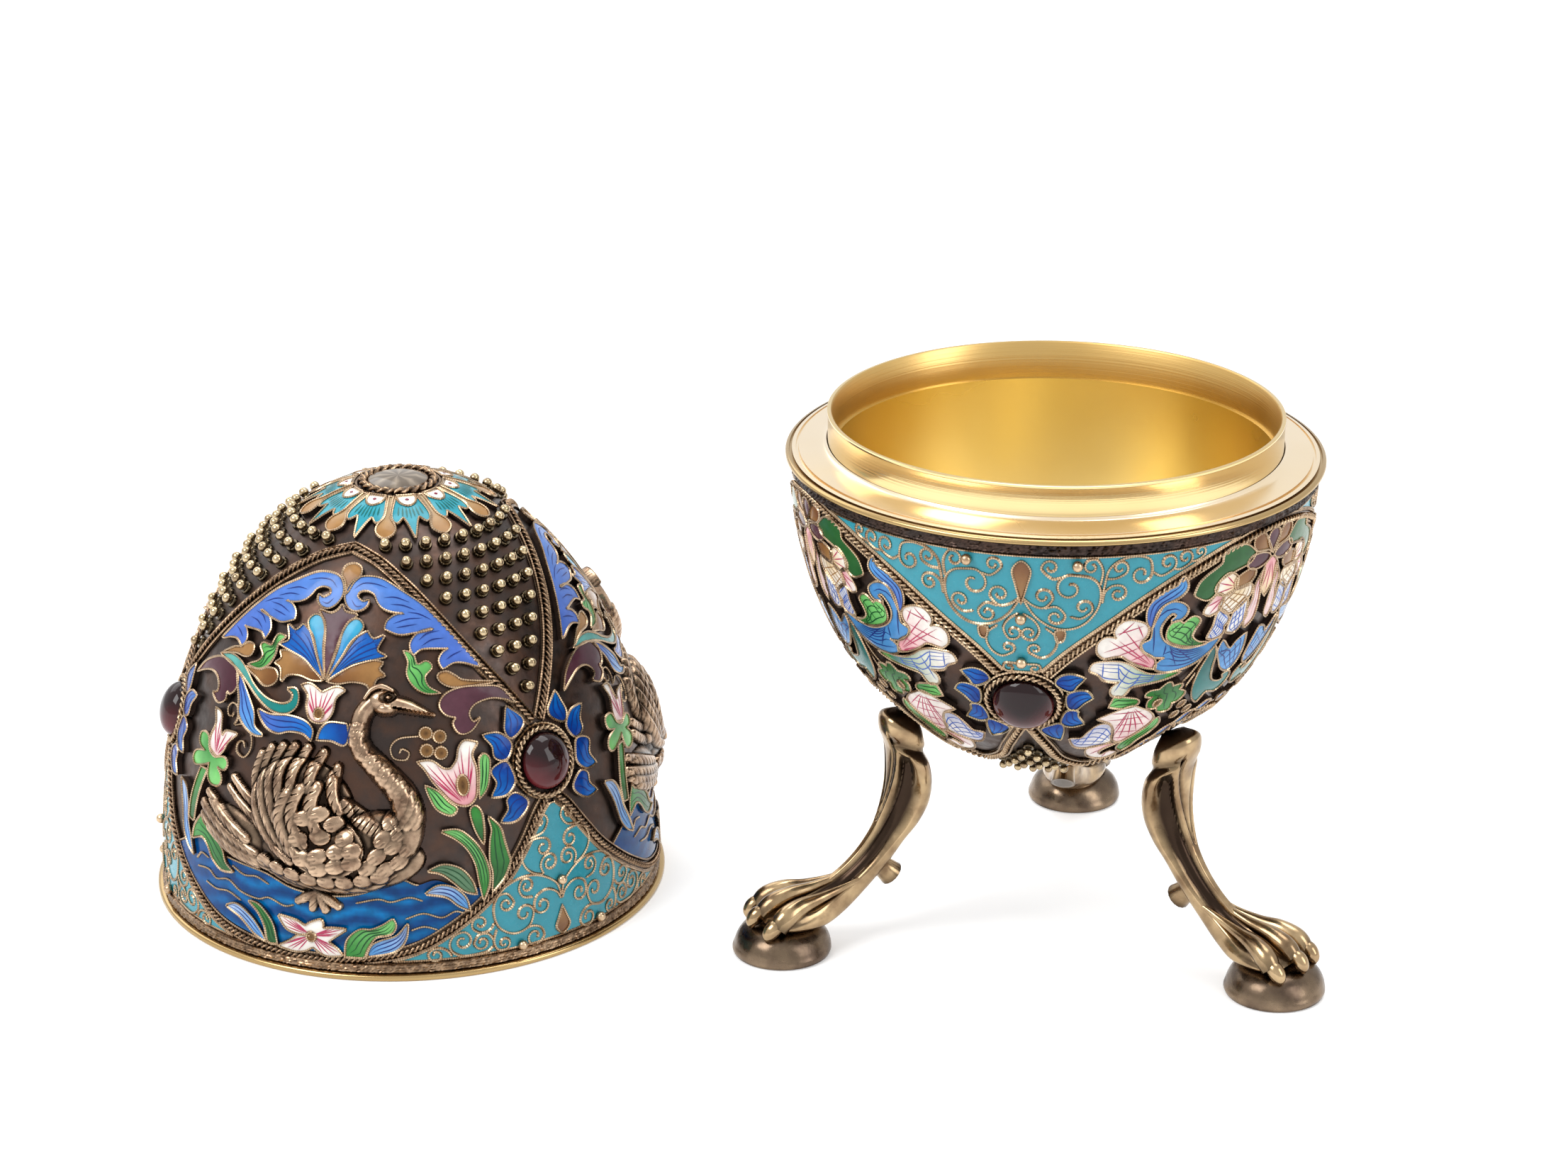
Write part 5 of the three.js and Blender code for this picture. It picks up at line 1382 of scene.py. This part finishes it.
# Cast paw legs: each station gives an outer and an inner place (out, up), and half a width
LEG_STATIONS = [
    ((23.2, 35.2), (20.6, 34), 1.8), ((25.6, 34.8), (19.8, 31.8), 3.1),
    ((25.9, 32.6), (19.4, 29.6), 3.5), ((24.9, 29.6), (18.8, 26.8), 4.3),
    ((24.7, 26.6), (18.5, 24), 4.4), ((25, 23.4), (18.8, 20.9), 3.9), ((26, 19.7), (20.2, 17.9), 3.3),
    ((27.5, 16.5), (22.3, 15.4), 2.9), ((29.9, 13.4), (24.8, 11.9), 2.5), ((33, 10.8), (28, 8.3), 2.3),
    ((36.4, 9.1), (31.4, 5.4), 3.0), ((39.2, 8.1), (34.6, 4), 4.2), ((41.6, 7.2), (37.8, 4), 4.9),
    ((43.4, 6.4), (41, 4.4), 4.7), ((44.2, 5.8), (43, 4.8), 3.2)]
FOOT_REACH = 40.8
MIDDLE_TOE = [
    (0, -29.5, 12.1), (0, -32.5, 10.3), (0, -36, 9.2), (0, -39.4, 8.5), (0, -42.2, 7.4), (0, -43.8, 6)]
SIDE_TOE = [
    (1.9, -29.5, 10.3), (2, -32.5, 9.3), (2.6, -36.2, 8.5), (3.3, -39.2, 8), (3.9, -41.6, 6.9),
    (4.2, -42.9, 5.5)]
CLAW = [(-43.3, 6.7), (-44.5, 6.2), (-45.3, 5.2), (-45.5, 4.3)]
TOE_SIZES = [0.4, 0.55, 0.85, 1.3, 1.6, 1.4]
# Tints paint shade: each toe darkens towards its claw, each claw at its root, and the spur at its flat end.
TOE_TINTS = [1, 1, 1, 1, 0.9, 0.3]
CLAW_SIZES = [0.9, 1.2, 1, 0.35]
CLAW_TINTS = [0.25, 1, 1, 1]
CLAW_SPREAD = 4.25
SPUR = [(0, -27.6, 12.2), (0, -25.8, 11.2), (0, -24.8, 10.3), (0, -24, 9.5)]
SPUR_SIZES = [2.2, 1.6, 1.7, 1.9]
SPUR_TINTS = [0.6, 0.8, 0.9, 0.25]
LIMB_SIDES = 16
LEG_RINGS = 170
LEG_SIDES = 144
PAD_SIDES = 72
PAD_EDGE = 0.6


def capped(rings):
    """Rings with their ends drawn in to a middle point."""
    ends = [np.broadcast_to(ring.mean(axis=0), ring.shape)[None] for ring in (rings[0], rings[-1])]
    return np.concatenate([ends[0], rings, ends[1]])


def with_ends(values):
    """Values with the first and the last one given twice."""
    return np.concatenate([values[:1], values, values[-1:]])


def limb(soup, path, sizes, tints, count):
    """A rounded body along a path, closed at both ends."""
    path = smoothed(path, count)
    size = smoothed(sizes, count)[:, None, None]
    shade = np.interp(np.linspace(0, 1, count), np.linspace(0, 1, len(tints)), tints)
    ahead = np.gradient(path, axis=0)
    across = np.cross(ahead, [0.0, 0, 1])
    across /= np.linalg.norm(across, axis=1)[:, None]
    up = np.cross(across, ahead)
    up /= np.linalg.norm(up, axis=1)[:, None]
    angle = full_turn(LIMB_SIDES)
    ring = across[:, None] * np.cos(angle)[None, :, None] + up[:, None] * np.sin(angle)[None, :, None]
    rings = capped(path[:, None] + size * ring)
    tint = np.broadcast_to(with_ends(shade)[:, None, None], rings.shape)
    soup.add(rings, grid_faces(len(rings), LIMB_SIDES, wrap=True), tint)


def leg_soup():
    """A leg with two long flutes, a tongue between them, a spur, and three toes with claws."""
    soup = Soup()
    outer, inner, width = (smoothed(values, LEG_RINGS) for values in zip(*LEG_STATIONS))
    share = np.linspace(0, 1, LEG_RINGS)[:, None]
    angle = full_turn(LEG_SIDES)
    middle = (outer + inner) / 2
    depth = (outer - inner) / 2
    place = np.cos(angle)[None]
    front = np.sin(angle)[None]
    bearing = np.degrees(np.arctan2(front, np.abs(place)))
    opened = np.clip((share - 0.2) / 0.05, 0, 1) ** 0.5 * np.clip((0.94 - share) / 0.14, 0, 1)
    shallow = np.clip((0.8 - share) / 0.18, 0, 1)
    inner_rim = np.interp(share, [0.2, 0.46, 0.9], [50, 79, 80])
    outer_rim = np.interp(share, [0.2, 0.35, 0.6, 0.9], [2, -10, -2, 20])
    flute = np.clip(np.minimum(inner_rim - bearing, bearing - outer_rim) / 13, 0, 1) * opened
    flute = flute * flute * (3 - 2 * flute)
    edge = np.interp(share, [0.15, 0.47], [60, 90])
    cut = np.exp(-((bearing - edge) / 3.5) ** 2) * (share > 0.16) * (share < 0.46)
    neck = np.exp(-((share - 0.17) / 0.022) ** 2) * (bearing < 62)
    pinch = 1 - 0.4 * flute * shallow - 0.08 * cut - 0.16 * neck
    bulge = np.abs(front) ** 0.68 * np.sign(front) * pinch
    out = middle[:, :1] + depth[:, :1] * bulge
    up = middle[:, 1:] + depth[:, 1:] * bulge
    points = np.stack([width[:, None] * place * pinch, -out, up], axis=-1)
    # painted shade: darker in the flutes, the cut and the neck, at the top where the leg meets the bowl,
    # and on the top of the foot between the toes
    shade = np.clip(1 - 0.98 * flute - 0.8 * cut - 0.7 * neck, 0.02, 1)
    shade = shade * np.interp(share, [0, 0.06, 0.12], [0.15, 0.5, 1])
    shade = shade * np.where(front > 0, np.interp(share, [0.74, 0.84], [1, 0.25]), 1)
    tints = with_ends(np.broadcast_to(shade[..., None], points.shape))
    soup.add(capped(points), grid_faces(len(tints), LEG_SIDES, wrap=True), tints)
    for side in (-1, 0, 1):
        toe = [(side * x, y, z) for x, y, z in (SIDE_TOE if side else MIDDLE_TOE)]
        limb(soup, toe, TOE_SIZES, TOE_TINTS, 30)
        claw = [(side * CLAW_SPREAD, y + abs(side), z - 0.5 * abs(side)) for y, z in CLAW]
        limb(soup, claw, CLAW_SIZES, CLAW_TINTS, 14)
    limb(soup, SPUR, SPUR_SIZES, SPUR_TINTS, 12)
    return soup


def pad_soup():
    """A thick round pad with full shoulders, dented where the paw grips it."""
    soup = Soup()
    low, high = extent("foot_pad_2")
    radius = (high[0] - low[0]) / 2
    height = high[2] - low[2]
    angle = np.linspace(0, np.pi / 2, 28)[1:]
    profile = [(0, 0), (radius - 0.6, 0), (radius - 0.18, 0.14), (radius, PAD_EDGE)]
    profile += [(radius * max(math.cos(a), 0.0) ** 0.45, PAD_EDGE + (height - PAD_EDGE) * math.sin(a))
                for a in angle]
    out, up = np.array(profile).T[:, :, None]
    turn = full_turn(PAD_SIDES)
    grip = np.clip(up / height, 0, 1) * np.clip((up - 0.8) / 0.6, 0, 1)
    dent = 1 - 0.05 * (1 + np.cos(3 * turn + 0.6)) * grip
    points = revolved(out * dent, up, turn) - (0, FOOT_REACH, 0)
    # painted shade: darker where the pad meets the floor and towards its top, under the paw
    shade = np.interp(up, [0, PAD_EDGE, 1.4, height], [0.5, 1, 0.75, 0.45])[..., None]
    soup.add(points, grid_faces(len(profile), PAD_SIDES, wrap=True), np.broadcast_to(shade, points.shape))
    return soup


SHELL_SIDES = 160
BAND_SIDES = 900
BAND_PROFILE = np.array([-0.5, 0, -0.1, 0, -0.12, 0, -0.1, 0, -0.5])
STIPPLE = 0.16


def shell_soups(half):
    """The outside and the inside of a shell."""
    arc = np.linspace(0, half.arcs[-1], 60)
    result = []
    for lift, flip in ((0.0, half.upward < 0), (-SHELL_WALL, half.upward > 0)):
        places = half.at(0.0, arc, lift)
        out = np.maximum(-places[:, 1:2], 0)
        soup = Soup()
        faces = grid_faces(len(arc), SHELL_SIDES, wrap=True, flip=flip)
        soup.add(revolved(out, places[:, 2:], full_turn(SHELL_SIDES)), faces, PLAIN)
        result.append(soup)
    return result


def band_soup(node_name):
    """A stippled band beside a rim, with painted shade in its deeper pits."""
    low, high = extent(node_name)
    rows = len(BAND_PROFILE)
    stipple = STIPPLE * rng.random((rows, BAND_SIDES))
    out = (high[0] - low[0]) / 2 - 0.05 + BAND_PROFILE[:, None] - stipple
    heights = np.linspace(low[2], high[2], rows)[:, None]
    # painted shade: the deeper a pit, the darker its tint
    tint = np.clip(0.95 - 4.2 * stipple, 0.1, 1)[..., None] * PLAIN
    soup = Soup()
    soup.add(revolved(out, heights, full_turn(BAND_SIDES)), grid_faces(rows, BAND_SIDES, wrap=True), tint)
    return soup


COLLAR_WALL = 0.74
LINER_GAP = 0.4
LINER_WALL = 0.8


def build_gilt_rings():
    """Collar, flange and lining, which share the collar's radius."""
    low, high = extent("collar_ring")
    collar = (high[0] - low[0]) / 2
    bore = collar - COLLAR_WALL
    top, seat = high[2], low[2]
    face = [(bore, seat), (collar, seat), (collar, seat + 1.2), (collar - 0.12, seat + 1.6),
            (collar - 0.1, top - 0.5), (collar + 0.02, top - 0.3), (collar - 0.02, top - 0.08),
            (collar - 0.2, top), (bore + 0.2, top)]
    throat = [(bore + 0.2, top), (bore, top - 0.2), (bore, seat)]
    piece("collar", BOWL, [(GILT, turned(face)), (BRUSHED, turned(throat))], 0, ["collar_ring"])
    low, high = extent("flange_ring")
    lip = (high[0] - low[0]) / 2
    rim = low[2]
    skirt = [(collar + 0.05, rim), (lip - 0.25, rim), (lip, rim + 0.2), (lip, rim + 0.5),
             (lip - 0.2, rim + 0.72), (lip - 0.55, rim + 0.78), (lip - 0.6, rim + 0.4),
             (lip - 0.9, rim + 0.4), (lip - 0.95, rim + 0.9)]
    ledge = [(lip - 0.95, rim + 0.9), (lip - 1.5, rim + 1.02), (lip - 1.55, rim + 0.7),
             (lip - 1.85, rim + 0.7), (lip - 1.9, rim + 1.12), (collar + 1.2, rim + 1.5),
             (collar + 0.5, rim + 1.62), (collar + 0.2, rim + 1.8), (collar + 0.05, rim + 2.1),
             (collar + 0.05, rim)]
    flange = [(RIM_GILT, turned(skirt)), (FLANGE_GILT, turned(ledge))]
    piece("flange", BOWL, flange, 0, ["flange_ring"])
    mouth = bore - LINER_GAP
    depth = seat - extent("bowl_liner")[0][2]

    def cup(radius, deep):
        return [(max(radius * math.cos(a), 0.0), seat - deep * math.sin(a))
                for a in np.linspace(0, np.pi / 2, 48)]

    edge = [(mouth + 0.6, seat + 0.02), (mouth + 0.15, seat + 0.02)]
    liner = cup(mouth + LINER_WALL, depth)[::-1] + edge + cup(mouth, depth - LINER_WALL)
    piece("bowl_lining", BOWL, [(LINER_GILT, turned(liner, 192))], 0, ["bowl_liner"])


def build_bowl():
    outer, inner = shell_soups(BOWL)
    shell = [(SILVER, outer), (LINER_GILT, inner)]
    piece("bowl_body", BOWL, shell, 0, ["bowl_shell"])
    build_gilt_rings()
    band = [(SILVER, band_soup("bowl_edge_band"))]
    piece("bowl_band", BOWL, band, 0, ["bowl_edge_band"])
    pieces_round("paw_leg", BOWL, [(PAW, leg_soup())], BOWL_PANEL_TURN, "leg")
    pieces_round("paw_pad", BOWL, [(PAD, pad_soup())], BOWL_PANEL_TURN, "foot_pad")
    panel = bowl_panel()
    flowers = [(OPAQUE, panel.enamel)]
    pieces_round("bowl_flowers", BOWL, flowers, BOWL_PANEL_TURN, "bowl_flower_enamel")
    pieces_round("bowl_flower_wire", BOWL, [(TRIM, panel.metal)], BOWL_PANEL_TURN)
    field = bowl_spandrel()
    ground = [(SPANDREL, field.enamel)]
    pieces_round("bowl_spandrel", BOWL, ground, BOWL_STONE_TURN, "bowl_turquoise")
    pieces_round("bowl_filigree", BOWL, [(TRIM, field.metal)], BOWL_STONE_TURN)
    petals = garnet_field(BOWL, BOWL_PETALS, 0)
    petals.bead_rows(rows=5, start=38.6, row_gap=2.1, gap=2.1, radius=0.58, base=0.85)
    petals_and_beads = [(CLEAR, petals.enamel), (BEADS, petals.metal)]
    pieces_round("bowl_petals", BOWL, petals_and_beads, BOWL_STONE_TURN)
    stones(BOWL, "bowl", BOWL_STONE_TURN, v=26.3, wide=4.2, tall=4.7, rise=2.5)
    for name, points, node_name in (
            ("bowl_arch", BOWL_ARCH, "bowl_arch_rope"), ("bowl_wave", BOWL_WAVE, "bowl_lower_rope")):
        ropes = [(TRIM, border(BOWL, points))]
        pieces_round(f"{name}_border", BOWL, ropes, BOWL_PANEL_TURN, node_name)


LID_BORE = 32.5
TOP_RING_V = 73.4
TOP_WIRES_V = (72.4, 74.3)
TOP_RING_POINTS = 240
CRYSTAL_FACETS = 24


def build_lid_top():
    """Rosette, rope ring and faceted stone at the top of the lid."""
    panel = lid_rosette()
    rosette = [(OPAQUE, panel.enamel), (TRIM, panel.metal)]
    piece("lid_rosette", LID, rosette, LID_PANEL_TURN, ["apex_rosette"])

    def circle(v):
        return np.column_stack([np.degrees(full_turn(TOP_RING_POINTS)), np.full(TOP_RING_POINTS, v)])

    ring = Soup()
    rope(ring, LID, circle(TOP_RING_V), 0.6, 0.62, 1.4, closed=True)
    for v in TOP_WIRES_V:
        wire(ring, LID, circle(v), 0.35, closed=True, radius=0.24, step=0.26)
    piece("lid_top_ring", LID, [(ROPE, ring)], 0, ["apex_ring"])
    top = LID.rim + LID.height
    profile = [(4.3, top - 0.3), (4.25, top + 0.2), (2.7, top + 0.72), (0, top + 0.72)]
    out, up = np.array(profile).T[:, :, None]
    points = revolved(out, up, full_turn(CRYSTAL_FACETS))
    # painted glints on every third facet, and painted shade that is darkest at the girdle
    sparkle = 0.35 + 0.65 * (np.arange(CRYSTAL_FACETS) % 3 == 0)
    shade = np.array([0.1, 0.45, 0.75, 0.5])[:, None] * sparkle
    crystal = Soup()
    faces = grid_faces(len(profile), CRYSTAL_FACETS, wrap=True)
    crystal.add(points, faces, np.broadcast_to(shade[..., None], points.shape))
    piece("lid_top_stone", LID, [(CRYSTAL, crystal)], 0, ["apex_stone"])


def build_lid():
    outer, inner = shell_soups(LID)
    shell = [(SILVER, outer), (LINER_GILT, inner)]
    piece("lid_body", LID, shell, 0, ["lid_shell"])
    low, high = extent("lid_rim_ring")
    lip = (high[0] - low[0]) / 2
    rim, top = low[2], high[2]
    ring = [(LID_BORE, rim), (lip - 0.2, rim), (lip, rim + 0.2), (lip, top - 0.25),
            (lip - 0.2, top - 0.05), (lip - 0.5, top), (LID_BORE, top), (LID_BORE, rim)]
    piece("lid_rim", LID, [(RIM_GILT, turned(ring))], 0, ["lid_rim_ring"])
    band = [(ROPE, band_soup("lid_edge_band"))]
    piece("lid_band", LID, band, 0, ["lid_edge_band"])
    medallion = lid_medallion()
    flowers = [(OPAQUE, medallion.enamel)]
    pieces_round("lid_flowers", LID, flowers, LID_PANEL_TURN, "lid_flower_enamel")
    pieces_round("lid_flower_wire", LID, [(TRIM, medallion.metal)], LID_PANEL_TURN)
    panel = lid_water()
    water = [(CLEAR, panel.enamel), (TRIM, panel.metal)]
    pieces_round("lid_water", LID, water, LID_PANEL_TURN, "lid_water_enamel")
    field = lid_spandrel()
    ground = [(SPANDREL, field.enamel)]
    pieces_round("lid_spandrel", LID, ground, LID_STONE_TURN, "lid_turquoise")
    pieces_round("lid_filigree", LID, [(TRIM, field.metal)], LID_STONE_TURN)
    petals = garnet_field(LID, LID_PETALS, LID_PETAL_MIDDLE)
    petals_and_wire = [(CLEAR, petals.enamel), (TRIM, petals.metal)]
    pieces_round("lid_petals", LID, petals_and_wire, LID_STONE_TURN)
    granules = Panel(LID)
    granules.bead_rows(rows=9, start=38.9, row_gap=2.95, gap=2.8, radius=0.76, base=1.02)
    pieces_round("lid_granules", LID, [(BEADS, granules.metal)], LID_STONE_TURN)
    stones(LID, "lid", LID_STONE_TURN, v=28, wide=3.9, tall=4.1, rise=2.6)
    for name, points, node_name in (
            ("lid_arch", LID_ARCH, "lid_arch_rope"), ("lid_curve", LID_CURVE, "lid_lower_rope")):
        ropes = [(ROPE, border(LID, points))]
        pieces_round(f"{name}_border", LID, ropes, LID_PANEL_TURN, node_name)
    pieces_round("swan_relief", LID, [(SWAN_METAL, swan_soup())], LID_PANEL_TURN, "swan")
    build_lid_top()


def seen_plainly(tree):
    """1 for rays that leave the camera, a shiny surface or a clear one, else 0."""
    path = node(tree, "LightPath").outputs
    direct = node(tree, "Math", operation="ADD", i0=path["Is Camera Ray"], i1=path["Is Glossy Ray"])
    return node(tree, "Math", operation="ADD", i0=direct.outputs[0], i1=path["Is Transmission Ray"],
                use_clamp=True).outputs[0]


def build_floor():
    floor = bpy.data.meshes.new("floor")
    floor.from_pydata([(-6, -6, 0), (6, -6, 0), (6, 6, 0), (-6, 6, 0)], [], [(0, 1, 2, 3)])
    ground = bpy.data.objects.new("floor", floor)
    bpy.context.scene.collection.objects.link(ground)
    finish, tree, surface = material("white_floor")
    surface.inputs["Base Color"].default_value = (0.86, 0.86, 0.86, 1)
    surface.inputs["Roughness"].default_value = 0.7
    surface.inputs["Emission Color"].default_value = (1, 1, 1, 1)
    strength = node(tree, "Math", operation="MULTIPLY", i0=seen_plainly(tree), i1=0.3)
    tree.links.new(strength.outputs[0], surface.inputs["Emission Strength"])
    floor.materials.append(finish)


def build_world():
    """White where it is seen, and a room that is brighter above and behind for the rest."""
    world = bpy.data.worlds.new("studio")
    bpy.context.scene.world = world
    world.use_nodes = True
    tree = world.node_tree
    background = tree.nodes["Background"]
    background.inputs["Color"].default_value = (1, 1, 1, 1)
    direction = node(tree, "TexCoord").outputs["Generated"]
    facing = node(tree, "VectorMath", operation="DOT_PRODUCT", i0=direction, i1=(0, 0.62, 0.78))
    room = spread(tree, facing.outputs["Value"], 0.1, 0.8, -0.5, 0.6)
    strength = node(tree, "Math", operation="MAXIMUM", i0=seen_plainly(tree), i1=room)
    tree.links.new(strength.outputs[0], background.inputs["Strength"])


def lamp(name, place, aim, size, power):
    light = bpy.data.lights.new(name, "AREA")
    light.shape = "RECTANGLE"
    light.size, light.size_y = size
    light.energy = power
    made = bpy.data.objects.new(name, light)
    made.location = place
    made.rotation_euler = (Vector(aim) - Vector(place)).to_track_quat("-Z", "Y").to_euler()
    bpy.context.scene.collection.objects.link(made)


def build_stage():
    build_floor()
    build_world()
    lamp("key", (-0.55, -0.35, 0.75), (0, 0, 0.03), (0.5, 0.5), 6.0)
    lamp("top", (0.15, 0.25, 0.95), (0, 0, 0.03), (0.7, 0.5), 4.6)
    lamp("back", (-0.5, 0.6, 0.6), (-0.02, 0, 0.04), (0.7, 0.5), 1.8)
    lamp("fill", (0.75, -0.4, 0.45), (0.02, 0, 0.03), (0.35, 0.6), 2.4)


def build_camera():
    camera = bpy.data.cameras.new("camera")
    camera.lens = 87.9
    camera.sensor_width = 36
    made = bpy.data.objects.new("camera", camera)
    made.location = (0.00881, -0.51663, 0.24942)
    made.rotation_euler = (math.radians(68.694), 0, 0)
    bpy.context.scene.collection.objects.link(made)
    bpy.context.scene.camera = made


build_camera()
build_stage()
build_bowl()
build_lid()
bpy.context.scene.view_settings.view_transform = "Standard"
